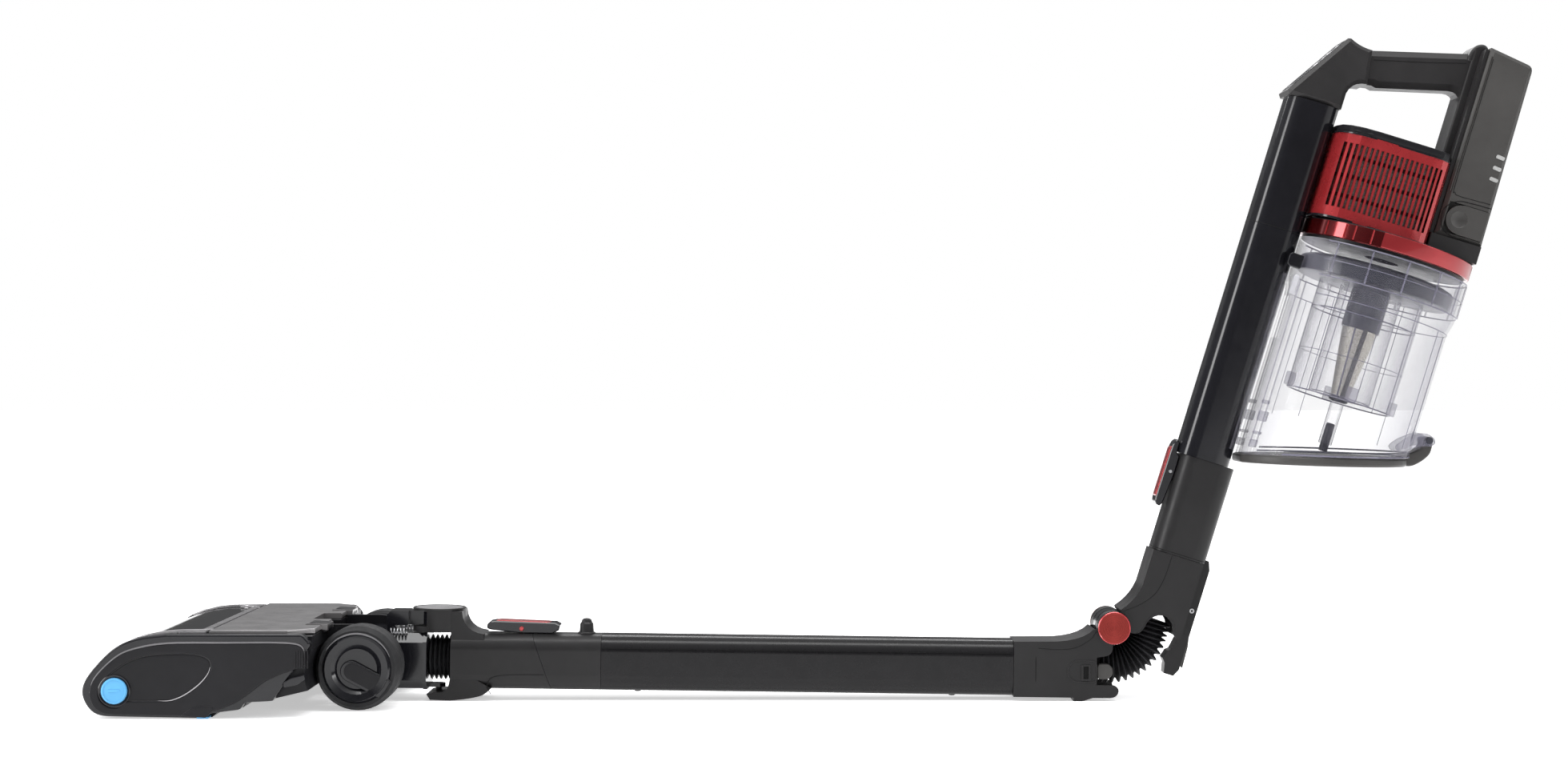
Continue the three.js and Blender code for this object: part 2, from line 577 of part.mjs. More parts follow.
function connectorShell() {
  const x0 = SOCKET_START;
  let body = prismX(wandSection(), x0, SOCKET_BOTTOM + 10);
  const flare = new THREE.Shape();
  flare.moveTo(STEER_X, TURRET_LOW);
  flare.lineTo(STEER_X, TURRET_TOP - 2);
  flare.lineTo(STEER_X + TURRET_R - 1, TURRET_TOP - 2);
  flare.quadraticCurveTo(STEER_X + TURRET_R, wandTop + 2, STEER_X + 38, wandTop);
  flare.lineTo(STEER_X + 38, wandTop - 8);
  flare.lineTo(x0, wandTop - 8);
  flare.lineTo(x0, TURRET_LOW);
  const turret = rodZ(STEER_X, 0, TURRET_R, TURRET_LOW, TURRET_TOP, 40);
  const hook = new THREE.Shape();
  hook.moveTo(STEER_X - 7.5, wandBottom - 4.2);
  hook.lineTo(STEER_X - 4.5, wandBottom - 8.6);
  hook.lineTo(STEER_X + 11.5, wandBottom - 9);
  hook.quadraticCurveTo(STEER_X + 29.5, wandBottom - 7.5, STEER_X + 37.5, wandBottom - 4.5);
  hook.quadraticCurveTo(STEER_X + 41.5, wandBottom - 2, STEER_X + 44.5, wandBottom + 1);
  hook.lineTo(STEER_X + 22.5, wandBottom + 14);
  hook.lineTo(x0, wandBottom + 14);
  hook.quadraticCurveTo(x0, wandBottom - 2.4, STEER_X + 4.5, wandBottom - 2.6);
  hook.lineTo(STEER_X - 1.5, wandBottom - 2.6);
  body = join(body, turret, prismY(flare, -WAND_WIDTH / 2 + 3, WAND_WIDTH / 2 - 3, 6),
    prismY(hook, -WAND_WIDTH / 2 + 1, WAND_WIDTH / 2 - 1, 6));
  const boreHalf = WAND_WIDTH / 2 - WALL;
  const bore = prismX(roundedRect(-boreHalf, wandBottom + WALL, boreHalf, wandTop - WALL, WAND_CORNER - WALL),
    x0 - 1, SOCKET_BOTTOM + 20, 2);
  const armReach = TURRET_R + 6;
  const armRoom = new THREE.Shape();
  armRoom.moveTo(STEER_X, 0);
  const firstAngle = HALF_TURN - ARM_SWING;
  armRoom.lineTo(STEER_X + armReach * Math.cos(firstAngle), armReach * Math.sin(firstAngle));
  armRoom.absarc(STEER_X, 0, armReach, HALF_TURN - ARM_SWING, HALF_TURN + ARM_SWING, false);
  body = cut(body, bore, slantCutter(0),
    rodZ(STEER_X, 0, TURRET_R - 2, TURRET_TOP - 2, TURRET_TOP + 2, 32),
    rodZ(STEER_X, 0, CORE_R + RUN, ARM_LOW - RUN, TURRET_TOP - 1, 28),
    prismZ(armRoom, ARM_LOW - RUN, TURRET_TOP - 2, 5));
  const pin = rodZ(STEER_X, 0, 2.6, wandBottom - 5, wandBottom + 2.2, 12);
  return join(body, pin);
}

function lowerLever() {
  const outline = new THREE.Shape();
  const low = wandTop + GAP + 0.1;
  outline.moveTo(STEER_X + 67.5, low);
  outline.lineTo(STEER_X + 92.5, low);
  outline.lineTo(STEER_X + 97.5, low + 2.6);
  outline.lineTo(STEER_X + 98.5, -5.4);
  outline.lineTo(STEER_X + 94.5, -3.4);
  outline.lineTo(STEER_X + 45.5, -2.4);
  outline.quadraticCurveTo(STEER_X + 38.5, -2.6, STEER_X + 39.5, low + 4);
  outline.quadraticCurveTo(STEER_X + 40.5, low + 2.6, STEER_X + 45.5, low + 2.2);
  return prismY(outline, -9.5, 9.5, 3, 0.8);
}

add(wand, 'connector_shell', 'charcoal', connectorShell());
add(wand, 'turret_cap', 'trim', rodZ(STEER_X, 0, TURRET_R - 2 - GAP, TURRET_TOP - 2 + GAP, TURRET_TOP, 32));
add(wand, 'lower_release_lever', 'red', lowerLever());

// ---------------------------------------------------------------- lower wand
function wandSleeve() {
  const spigotHalf = WAND_WIDTH / 2 - WALL - GAP;
  const spigot = roundedRect(
    -spigotHalf, wandBottom + WALL + GAP, spigotHalf, wandTop - WALL - GAP, WAND_CORNER - WALL);
  const boreHalf = spigotHalf - WALL;
  const bore = roundedRect(
    -boreHalf, wandBottom + 2 * WALL + GAP, boreHalf, wandTop - 2 * WALL - GAP, WAND_CORNER - 2 * WALL);
  const shell = cut(prismX(wandSection(), SOCKET_TOP - 20, SLEEVE_END),
    prismX(wandSection(-5), SOCKET_TOP - 40, SOCKET_BOTTOM + 30).subtract(slantCutter(GAP)));
  return cut(join(shell, prismX(spigot, SOCKET_TOP - SPIGOT_LENGTH, SLEEVE_END - 5, 2)),
    prismX(bore, SOCKET_TOP - SPIGOT_LENGTH - 1, SLEEVE_END + 1, 2));
}

function tubeAlongX(x0, x1, wall) {
  return cut(prismX(wandSection(), x0, x1, 5), prismX(wandSection(wall), x0 - 1, x1 + 1, 2));
}

function parkingPin() {
  return turnedZ([[0, wandTop + GAP], [6, wandTop + GAP], [5.4, wandTop + 8], [4.2, wandTop + 9.5],
    [4, wandTop + 11], [2.5, wandTop + 12.2], [0, wandTop + 12.6]], PARKING_PIN_X, 0, 16);
}


function eyeRing(y0, y1) {
  return cut(rodY(0, 0, BARREL_R, y0, y1, 32), rodY(0, 0, HINGE_PIN_R + GAP, y0 - 1, y1 + 1, 16));
}

function lowerHingeHousing() {
  const outline = new THREE.Shape();
  outline.moveTo(TUBE_END + GAP, wandBottom);
  outline.lineTo(TUBE_END + GAP, wandTop);
  outline.lineTo(-45, wandTop + 0.6);
  outline.quadraticCurveTo(-24, wandTop + 2, -15.6, -1.6);
  outline.lineTo(-13.6, -3);
  outline.absarc(0, 0, BARREL_R + RUN, HALF_TURN + 0.22, HALF_TURN * 1.5, false);
  outline.lineTo(-0.4, -17.5);
  outline.quadraticCurveTo(-1, -22.6, -6.5, -23.4);
  outline.lineTo(-12.9, -24.5);
  outline.lineTo(-12.9, -46.6);
  outline.lineTo(1.2, -46.8);
  outline.quadraticCurveTo(4.9, -48, 4.9, -51.4);
  outline.quadraticCurveTo(4, -56.6, -2, -56.9);
  outline.lineTo(-16, -57);
  outline.lineTo(-24, -wandFloor(-24));
  outline.lineTo(-31.4, -wandFloor(-31.4));
  outline.lineTo(-31.4, wandBottom);
  const half = WAND_WIDTH / 2;
  let body = prismY(outline, -half, half, 5);
  const boreLine = roundedRect(-half + 3.5, wandBottom + 3.5, half - 3.5, wandTop - 3.5, 10);
  const bore = prismX(boreLine, TUBE_END - 1, 20, 2);
  const mouth = box(-12.9, 20, -half + 3.5, half - 3.5, wandBottom + 3.5, -15.5);
  const tabPocket = box(-26, 20, -9, 9, wandBottom - 5, wandBottom + 12);
  body = cut(body, bore, mouth, tabPocket, rodY(0, 0, BARREL_R + RUN, -EYE_MID, EYE_MID, 32));
  for (const side of [-1, 1]) {
    const web = prismY(shapeOf([[-14, -2], [-2, -2], [-0.6, -18], [-10, -23]]), ...span(side, EYE_MID, half));
    body = join(body, web, rodY(0, 0, BARREL_R, ...span(side, EYE_MID, BARREL_HALF), 32));
  }
  return cut(body, rodY(0, 0, HINGE_PIN_R + GAP, -40, 40, 16));
}

// height of the floor below the hinge axis, at a place along the wand
function wandFloor(x) {
  return (HINGE_Z - x * Math.sin(droop)) / Math.cos(droop);
}

function foldBellows() {
  const radius = WAND_DEPTH - 3;
  const lead = 11;                // straight ends of the hose, inside the two housings
  const tail = 15;
  const arcStart = HALF_TURN / 2 + droop;
  const arcEnd = THREE.MathUtils.degToRad(LEAN);
  const at = (angle, along) => new THREE.Vector3(
    radius * Math.cos(angle) + along * Math.sin(angle),
    0,
    along * Math.cos(angle) - radius * Math.sin(angle),
  );
  const points = [at(arcStart, -lead)];
  const steps = 9;
  for (let i = 0; i <= steps; i += 1) points.push(at(arcStart + (arcEnd - arcStart) * i / steps, 0));
  points.push(at(arcEnd, tail));
  const shape = circle(0, 0, FOLD_BELLOWS_R);
  const hole = new THREE.Path();
  hole.absarc(0, 0, FOLD_BELLOWS_R - 2.5, 0, 2 * HALF_TURN, true);
  shape.holes.push(hole);
  const extrudePath = new THREE.CatmullRomCurve3(points);
  return toSolid(new THREE.ExtrudeGeometry(shape, { steps: 11, curveSegments: 6, extrudePath }));
}

add(wand, 'wand_sleeve', 'charcoal', wandSleeve());
add(wand, 'wand_tube', 'gloss', tubeAlongX(SLEEVE_END + GAP, TUBE_END, 1.8));
add(wand, 'parking_pin', 'charcoal', parkingPin());
add(wand, 'lower_hinge_housing', 'charcoal', lowerHingeHousing());
add(wand, 'hinge_barrel', 'gloss', eyeRing(-EYE_SPLIT, EYE_SPLIT));
add(wand, 'hinge_pin', 'steel', rodY(0, 0, HINGE_PIN_R, -BARREL_HALF, BARREL_HALF, 16));
for (const [side, word] of [[-1, 'left'], [1, 'right']]) {
  const face = BARREL_HALF + HINGE_CAP_THICK;
  const rim = [[0, BARREL_HALF + GAP], [BARREL_R, BARREL_HALF + GAP], [BARREL_R, face - 0.8],
    [BARREL_R - 0.8, face], [0, face]];
  add(wand, `hinge_cap_${word}`, 'red', turnedY(onSide(side, rim), 0, 0, 32));
}
const bellowsMesh = add(part, 'fold_bellows', 'rubber', foldBellows());
bellowsMesh.position.set(HINGE_X, 0, HINGE_Z);

// ---------------------------------------------------------------- upper wand
const stubRear = STUB_FRONT + WAND_HEIGHT;

function stubSection(shrink = 0) {
  const half = WAND_WIDTH / 2 - shrink;
  return roundedRect(STUB_FRONT + shrink, -half, stubRear - shrink, half, WAND_CORNER - shrink * 0.8);
}

function upperHingeHousing() {
  const outline = new THREE.Shape();
  const half = WAND_WIDTH / 2;
  outline.moveTo(STUB_FRONT, STUB_START - GAP);
  outline.lineTo(STUB_FRONT, 40);
  outline.quadraticCurveTo(10.8, 26, 1.4, 15.2);
  outline.lineTo(3, 13.2);
  outline.absarc(0, 0, BARREL_R + RUN, 1.35, 0, true);
  outline.quadraticCurveTo(19.5, -0.8, 22.4, 4);
  outline.quadraticCurveTo(25, 20, 36, 21);
  outline.quadraticCurveTo(45, 20, 47, 9);
  outline.lineTo(50, 7);
  outline.lineTo(stubRear - 2.6, 7);
  outline.lineTo(stubRear - 2.6, STUB_START - GAP);
  let body = prismY(outline, -half, half, 5);
  const rearSkin = box(stubRear - 3, stubRear, -half + 10, half - 10, 40, STUB_START - GAP);
  const boreLine = roundedRect(STUB_FRONT + 3.5, -half + 3.5, stubRear - 4.5, half - 3.5, 8);
  const bore = prismZ(boreLine, 14, STUB_START + 5, 2);
  const mouth = box(16, stubRear - 5.5, -half + 3.5, half - 3.5, -5, 20);
  body = cut(join(body, rearSkin), bore, mouth,
    rodY(0, 0, BARREL_R + RUN, -EYE_SPLIT, EYE_SPLIT, 32),
    rodY(0, 0, BARREL_R + RUN, -half - 5, -EYE_MID + GAP, 32),
    rodY(0, 0, BARREL_R + RUN, EYE_MID - GAP, half + 5, 32),
    box(stubRear - 2.9, stubRear + 5, -10, 10, 0, 78),
    box(stubRear - 6, stubRear + 5, -10, 10, 0, 14));
  for (const side of [-1, 1]) {
    const reach = span(side, EYE_SPLIT + GAP, EYE_MID - GAP);
    const web = prismY(shapeOf([[2, 2], [17, 0], [19, 14], [4, 18]]), ...reach);
    body = join(body, web, rodY(0, 0, BARREL_R, ...reach, 32));
  }
  return cut(body, rodY(0, 0, HINGE_PIN_R + GAP, -40, 40, 16));
}

function upperStub() {
  const spigotTop = STUB_END + 38;
  const spigotHalf = HAND_WIDTH / 2 - WALL - GAP;
  const spigot = roundedRect(HAND_FRONT + WALL + 3, -spigotHalf, HAND_REAR - WALL - GAP, spigotHalf, 13);
  const boreRear = HAND_REAR - 2 * WALL - GAP;
  const bore = roundedRect(STUB_FRONT + 4, -spigotHalf + WALL, boreRear, spigotHalf - WALL, 10);
  return cut(join(prismZ(stubSection(), STUB_START, STUB_END), prismZ(spigot, STUB_END - 5, spigotTop, 2)),
    prismZ(bore, STUB_START - 1, spigotTop + 1, 2),
    box(stubRear - 2.9, stubRear + 5, -10, 10, STUB_START - 1, 78));
}

function foldLever() {
  const front = stubRear + GAP - 2.6;
  const outline = shapeOf([
    [front, 12], [front, 36], [front + 2.6, 73], [front + 5.4, 73], [front + 8, 66], [front + 8, -18],
    [front + 5, -24], [front - 3, -24], [front - 4.6, -16], [front - 7.5, -12.5], [front - 5.5, -6],
    [front - 3, -4], [front - 1.5, 4]]);
  return prismY(outline, -8, 8);
}

function upperLever() {
  const face = STUB_FRONT - GAP;
  const outline = new THREE.Shape();
  outline.moveTo(face - 0.2, 131);
  outline.lineTo(face - 0.2, 147);
  outline.lineTo(HAND_FRONT - 0.5, 150);
  outline.lineTo(HAND_FRONT - 0.5, 158);
  outline.lineTo(6.5, 160);
  outline.quadraticCurveTo(3.6, 158, 3.8, 150);
  outline.lineTo(3.2, 110);
  outline.quadraticCurveTo(3.4, 104.4, 8, 104.4);
  outline.lineTo(face - 2.4, 107);
  return prismY(outline, -9.5, 9.5, 3, 0.8);
}

add(upper, 'upper_hinge_housing', 'charcoal', upperHingeHousing());
add(upper, 'upper_stub', 'charcoal', upperStub());
add(upper, 'fold_release_lever', 'charcoal', foldLever());
add(upper, 'upper_release_lever', 'red', upperLever());

// ---------------------------------------------------------------- hand unit
function handSection(shrink = 0) {
  const half = HAND_WIDTH / 2 - shrink;
  return roundedRect(HAND_FRONT + shrink, -half, HAND_REAR - shrink, half, 14 - shrink * 0.8);
}

function mainTube() {
  const tube = prismZ(handSection(), STUB_END + GAP, HAND_TUBE_TOP, 5);
  const bore = prismZ(handSection(WALL), STUB_END - 1, HAND_TUBE_TOP - 40, 2);
  const inlet = box(HAND_REAR - 8, HAND_REAR + 5, -INLET_HALF, INLET_HALF, INLET_LOW, INLET_HIGH);
  return cut(tube, bore, inlet);
}

// a place on the sloped display face: distance up the slope and out of it
function slopePoint(along, out) {
  const { x, z } = SLOPE_START;
  const c = Math.cos(SLOPE_ANGLE);
  const s = Math.sin(SLOPE_ANGLE);
  return [x + along * c - out * s, z + along * s + out * c];
}

// handle: display wedge, grip bar, the rear post that holds the battery and the deck under it
function handleShell() {
  const half = HAND_WIDTH / 2;
  const wedge = new THREE.Shape();
  wedge.moveTo(HAND_FRONT - 1, HAND_TUBE_TOP + GAP);
  wedge.lineTo(...slopePoint(0, 0));
  wedge.lineTo(...slopePoint(SLOPE_LENGTH, 0));
  wedge.lineTo(43, 509.4);
  wedge.quadraticCurveTo(52, 505, 62, 505.4);
  wedge.lineTo(66, 478);
  wedge.quadraticCurveTo(54, 477, HAND_REAR, 466);
  wedge.lineTo(HAND_REAR, HAND_TUBE_TOP + GAP);
  const grip = new THREE.Shape();
  grip.moveTo(56, 504.6);
  grip.lineTo(142, 528);
  grip.lineTo(dockFront, 531);
  grip.lineTo(dockFront, 470);
  grip.lineTo(142, 488);
  grip.quadraticCurveTo(140, 495, 132, 493.6);
  grip.lineTo(75, 478.6);
  grip.lineTo(71, 479.4);
  grip.lineTo(56, 476.6);
  const postHalf = 17;
  const postLine = roundedRect(POST_FRONT, -postHalf, dockFront, postHalf, 2);
  const post = prismZ(postLine, MOTOR_TOP + 5, BATTERY_TOP, 3);
  const trayHalf = 30;
  const tray = box(MOTOR_REAR + GAP + 0.4, dockFront, -trayHalf, trayHalf, BAND_TOP + GAP, BATTERY_TOP);
  const deck = prismZ(roundedRect(MOTOR_REAR + GAP + 0.4, -BATTERY_HALF, BATTERY_REAR, BATTERY_HALF, 1, 1),
    BAND_TOP + GAP, BATTERY_BOTTOM - GAP, 2);
  const recessHalf = half - 4;
  const recess = prismY(shapeOf([slopePoint(3, -PANEL_DEEP), slopePoint(SLOPE_LENGTH - 3, -PANEL_DEEP),
    slopePoint(SLOPE_LENGTH - 3, 9), slopePoint(3, 9)]), -recessHalf, recessHalf);
  const gripHalf = GRIP_WIDTH / 2;
  const wedgeBody = prismY(wedge, -half, half, 5, 3);
  const gripBody = prismY(grip, -gripHalf, gripHalf, 4, 5);
  const solid = join(wedgeBody, gripBody, post, tray, deck);
  return cut(solid, recess);
}


const slope = new THREE.Group();  // x up the display face, z out of it
slope.position.set(SLOPE_START.x, 0, SLOPE_START.z);
slope.rotation.y = -SLOPE_ANGLE;
upper.add(slope);

function displayPanel() {
  const half = HAND_WIDTH / 2 - 4 - GAP;
  const plate = prismZ(roundedRect(3 + GAP, -half, SLOPE_LENGTH - 3 - GAP, half, 2), -PANEL_THICK, 0, 3);
  return cut(plate, ...Object.values(BUTTONS).map(([x, y]) => rodZ(x, y, BUTTON_R + GAP, -5, 2)));
}

const dockFront = BATTERY_FRONT - GAP;
const motorX = 99;                // suction motor axis

function motorPlan(shrink = 0) {
  const half = MOTOR_HALF - shrink;
  const front = MOTOR_FRONT + shrink;
  const rear = MOTOR_REAR - shrink;
  const shape = new THREE.Shape();
  shape.moveTo(front + 30, -half);
  shape.lineTo(rear - 16, -half);
  shape.quadraticCurveTo(rear, -half, rear, -half + 20);
  shape.lineTo(rear, half - 20);
  shape.quadraticCurveTo(rear, half, rear - 16, half);
  shape.lineTo(front + 30, half);
  shape.quadraticCurveTo(front, half, front, half - 34);
  shape.lineTo(front, -half + 34);
  shape.quadraticCurveTo(front, -half, front + 30, -half);
  return shape;
}

function motorHousing() {
  const low = BAND_TOP + 1.5;
  const shell = cut(prismZ(motorPlan(), low, MOTOR_TOP - 2, 4), prismZ(motorPlan(2.5), low - 1, MOTOR_TOP, 4));
  const slots = [];
  for (let i = 0; i < SLOTS; i += 1) {
    const x = SLOT_FIRST + SLOT_PITCH * i;
    slots.push(box(x - SLOT_WIDTH / 2, x + SLOT_WIDTH / 2, -60, 60, low + 9, MOTOR_TOP - 10));
  }
  return cut(shell, ...slots);
}

function suctionMotor() {
  const low = BAND_TOP + 13;
  return turnedZ([[0, low], [22, low], [26, low + 3], [MOTOR_BODY_R, low + 6], [MOTOR_BODY_R, MOTOR_TOP - 8],
    [12, MOTOR_TOP - 4], [0, MOTOR_TOP - 4]], motorX, 0, 24);
}

function impeller() {
  const low = BAND_TOP + 3;
  return turnedZ([[0, low], [8, low], [28, low + 6], [28, low + 8], [0, low + 9]], motorX, 0, 24);
}

function redBand() {
  const ring = turnedZ([[30, BAND_BOTTOM], [BAND_R - 0.8, BAND_BOTTOM], [BAND_R, BAND_BOTTOM + 0.8],
    [BAND_R, BAND_TOP - 0.8], [BAND_R - 0.8, BAND_TOP], [30, BAND_TOP], [30, BAND_BOTTOM]], CUP_X, 0, 40);
  return cut(ring, box(-20, HAND_REAR + GAP + 0.2, -60, 60, BAND_BOTTOM - 5, BAND_TOP + 5));
}

function battery() {
  const outline = new THREE.Shape();
  outline.moveTo(BATTERY_FRONT, BATTERY_BOTTOM);
  outline.lineTo(BATTERY_FRONT, BATTERY_TOP + 2);
  outline.lineTo(BATTERY_REAR - 7, BATTERY_TOP - 2.4);
  outline.quadraticCurveTo(BATTERY_REAR - 2.6, BATTERY_TOP - 3, BATTERY_REAR - 2.4, BATTERY_TOP - 8);
  outline.lineTo(BATTERY_REAR, BATTERY_BOTTOM);
  const pocket = side => box(
    BATTERY_FRONT + 4, BATTERY_REAR - 2, ...span(side, BATTERY_HALF - 6, BATTERY_HALF + 5),
    BATTERY_BOTTOM + 3, BATTERY_BOTTOM + 28);
  return cut(prismY(outline, -BATTERY_HALF, BATTERY_HALF, 4, 3), pocket(-1), pocket(1));
}

function batteryButton(side) {
  const low = BATTERY_BOTTOM + 3 + RUN;
  const high = BATTERY_BOTTOM + 28 - RUN;
  const face = BATTERY_HALF + 1;
  const shape = new THREE.Shape();
  shape.moveTo(BATTERY_REAR - 2 - RUN, low);
  shape.lineTo(BATTERY_REAR - 2 - RUN, high);
  shape.lineTo(BATTERY_FRONT + 16, high);
  const roundOff = (high - low) / 2 - 0.3;
  shape.absarc(BATTERY_FRONT + 16, (low + high) / 2, roundOff, HALF_TURN / 2, HALF_TURN * 1.5, false);
  shape.lineTo(BATTERY_FRONT + 16, low);
  const body = prismY(shape, ...span(side, face - 4, face), 5);
  const dimple = new THREE.SphereGeometry(12, 20, 12);
  dimple.translate(BATTERY_FRONT + 15, side * (face + 9.8), (low + high) / 2);
  return cut(body, toSolid(dimple));
}

// ---------------------------------------------------------------- dust cup

// height of a sloped plane parallel to the lid, at a distance above its underside
function lidLine(x, above) {
  return LID_FRONT.z + (x - LID_FRONT.x) * Math.tan(LID_ANGLE) + above;
}

function cupShell() {
  const low = LID_FRONT.z - 10;
  const inner = CUP_R - CUP_WALL;
  const wall = turnedZ([[inner, low], [CUP_R, low], [CUP_R, 303], [FLANGE_R, 318], [FLANGE_R, CUP_TOP],
    [FLANGE_R - CUP_WALL, CUP_TOP], [FLANGE_R - CUP_WALL, 318], [inner, 303], [inner, low]], CUP_X, 0, 48);
  const rail = side => box(46, 64.5, ...span(side, RAIL_HALF, RAIL_HALF + RAIL_WIDTH), 165, 312);
  const below = prismY(shapeOf([[-20, 100], [260, 100], [260, lidLine(260, LID_THICK + GAP)],
    [-20, lidLine(-20, LID_THICK + GAP)]]), -90, 90);
  const { x, z } = LID_HINGE;
  const earLine = [[CUP_X + CUP_R - 2, z - 14], [x, z - 5], [x, z + 5], [CUP_X + CUP_R - 2, z + 8]];
  const ear = side => join(
    prismY(shapeOf(earLine), ...span(side, 9.5, 14)),
    rodY(x, z, 5, ...span(side, 9.5, 14), 16));
  const shell = cut(join(wall, rail(-1), rail(1)), below,
    box(40, 62, -INLET_HALF, INLET_HALF, INLET_LOW, INLET_HIGH),
    box(-20, HAND_REAR + RUN, -RAIL_HALF + 0.01, RAIL_HALF - 0.01, 100, 400),
    box(-20, stubRear + RUN, -RAIL_HALF + 0.01, RAIL_HALF - 0.01, 100, 215));
  return cut(join(shell, ear(-1), ear(1)), rodY(x, z, 2.2, -30, 30, 12));
}

function cupLid() {
  const { x, z } = LID_HINGE;
  const wall = CUP_X + CUP_R;
  const front = CUP_FRONT - 16.5;
  const root = wall - 9.5;
  const rear = wall + 7.5;
  const plateLine = [[front, lidLine(front, 0)], [rear, lidLine(rear, 0)], [rear, lidLine(rear, LID_THICK)],
    [front, lidLine(front, LID_THICK)]];
  const plate = prismY(shapeOf(plateLine), -CUP_R - 13.5, CUP_R + 13.5);
  const disc = plate.intersect(rodZ(CUP_X, 0, CUP_R + 0.6, 100, 260, 48));
  const tailLine = [[root, lidLine(root, 0.5)], [rear, lidLine(rear, 0)], [x + 6, z - 8], [x + 4.4, z],
    [x - 4.4, z], [x - 6.4, z - 9], [wall + 0.8, lidLine(wall, LID_THICK)],
    [root, lidLine(root, LID_THICK - 1)]];
  const tail = prismY(shapeOf(tailLine), -9, 9);
  const eye = rodY(x, z, 4.4, -9, 9, 16);
  const solid = cut(join(disc, tail, eye), rodY(x, z, 2.2, -30, 30, 12));
  return cut(solid, box(-20, stubRear + RUN, -60, 60, 100, 300));
}

function cupShroud() {
  const low = 228;
  const r = 43;
  return turnedZ([[r - 1.8, low], [r, low], [r, 298], [r - 1.8, 298], [r - 1.8, low]], CUP_X, 0, 36);
}

function meshCone() {
  return turnedZ([[0, 230], [7, 230], [14.5, 289], [0, 289]], CUP_X, 0, 24);
}

function filterRing() {
  const rim = CUP_R - CUP_WALL - 1.6;
  const collar = rim - 2.5;
  return turnedZ([[7, 290], [15, 290], [15, 299], [rim, 299], [rim, 318], [collar, 322], [collar, 338],
    [7, 338], [7, 290]], CUP_X, 0, 32);
}

function lidButton() {
  const inner = RAIL_HALF + 0.6;
  const rear = CUP_X - Math.sqrt(FLANGE_R ** 2 - inner ** 2) - GAP;
  return box(44.5, rear, -RAIL_HALF - RAIL_WIDTH - 1, -inner, 318.5, 330);
}

add(upper, 'main_tube', 'gloss', mainTube());
add(upper, 'handle_shell', 'charcoal', handleShell());
add(slope, 'display_panel', 'trim', displayPanel());
for (const [name, [x, y]] of Object.entries(BUTTONS)) {
  add(slope, name, 'black', rodZ(x, y, BUTTON_R, -1.4, 0.8, 20));
}
add(upper, 'motor_housing', 'red', motorHousing());
add(upper, 'motor_cap', 'black', prismZ(motorPlan(0.4), MOTOR_TOP - 2 + GAP, MOTOR_TOP + 4.4, 4, 1.4));
add(upper, 'suction_motor', 'steel', suctionMotor());
add(upper, 'impeller', 'black', impeller());
add(upper, 'exhaust_filter', 'grey',
  turnedZ([[EXHAUST_R - 4, BAND_TOP + 5], [EXHAUST_R, BAND_TOP + 5], [EXHAUST_R, MOTOR_TOP - 6],
    [EXHAUST_R - 4, MOTOR_TOP - 6], [EXHAUST_R - 4, BAND_TOP + 5]], motorX, 0, 32));
add(upper, 'red_band', 'red', redBand());
add(upper, 'battery', 'charcoal', battery());
add(upper, 'battery_button_left', 'charcoal', batteryButton(-1));
add(upper, 'battery_button_right', 'charcoal', batteryButton(1));
add(upper, 'cup_shell', 'clear', cupShell());
add(upper, 'cup_lid', 'charcoal', cupLid());
add(upper, 'lid_pin', 'steel', rodY(LID_HINGE.x, LID_HINGE.z, 1.9, -14, 14, 12));
add(upper, 'cup_shroud', 'clear', cupShroud());
add(upper, 'mesh_cone', 'steel', meshCone());
add(upper, 'filter_ring', 'grey', filterRing());
add(upper, 'lid_button', 'black', lidButton());

export default part;
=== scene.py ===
import math

import bmesh
import bpy
from mathutils import Matrix, Vector


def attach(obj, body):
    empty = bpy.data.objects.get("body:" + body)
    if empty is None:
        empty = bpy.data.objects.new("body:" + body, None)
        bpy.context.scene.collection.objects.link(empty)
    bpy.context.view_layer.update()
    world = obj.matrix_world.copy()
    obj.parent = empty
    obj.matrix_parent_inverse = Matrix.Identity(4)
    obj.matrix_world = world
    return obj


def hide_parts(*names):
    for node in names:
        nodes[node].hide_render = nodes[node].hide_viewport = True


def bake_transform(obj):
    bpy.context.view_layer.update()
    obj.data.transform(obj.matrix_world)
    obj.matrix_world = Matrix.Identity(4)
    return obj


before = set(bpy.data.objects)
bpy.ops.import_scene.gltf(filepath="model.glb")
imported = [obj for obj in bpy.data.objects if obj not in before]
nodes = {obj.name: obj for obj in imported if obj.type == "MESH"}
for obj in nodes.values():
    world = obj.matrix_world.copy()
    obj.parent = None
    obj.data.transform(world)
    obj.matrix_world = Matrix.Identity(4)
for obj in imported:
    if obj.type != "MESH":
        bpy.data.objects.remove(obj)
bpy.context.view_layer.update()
MM = 0.001

# ---- frames, as in the CAD
HINGE = Vector((0.7129, 0, 0.0594))
HEAD = Matrix.Identity(4)
WAND = Matrix.Translation(HINGE) @ Matrix.Rotation(math.radians(0.75), 4, "Y")
UPPER = Matrix.Translation(HINGE) @ Matrix.Rotation(math.radians(17.2), 4, "Y")
SLOPE = UPPER @ Matrix.Translation((6.4 * MM, 0, 455.4 * MM)) @ Matrix.Rotation(math.radians(-57.5), 4, "Y")
LID = UPPER @ Matrix.Translation((56.5 * MM, 0, 156.5 * MM)) @ Matrix.Rotation(math.radians(-15.6), 4, "Y")
FOLD = Matrix.Translation(HINGE)

# a frame with the body that a piece made in it rides on
ON_HEAD = (HEAD, "floor_head")
ON_SOCKET = (WAND, "nozzle_socket")
ON_LOWER = (WAND, "lower_wand")
ON_FOLD = (FOLD, "lower_wand")
ON_UPPER = (UPPER, "upper_wand")
ON_HAND = (UPPER, "hand_unit")
ON_DISPLAY = (SLOPE, "hand_unit")
ON_BATTERY = (UPPER, "battery_pack")
ON_CUP = (UPPER, "dust_cup")
ON_LID = (UPPER, "lid")
SIDES = (("left", -1), ("right", 1))


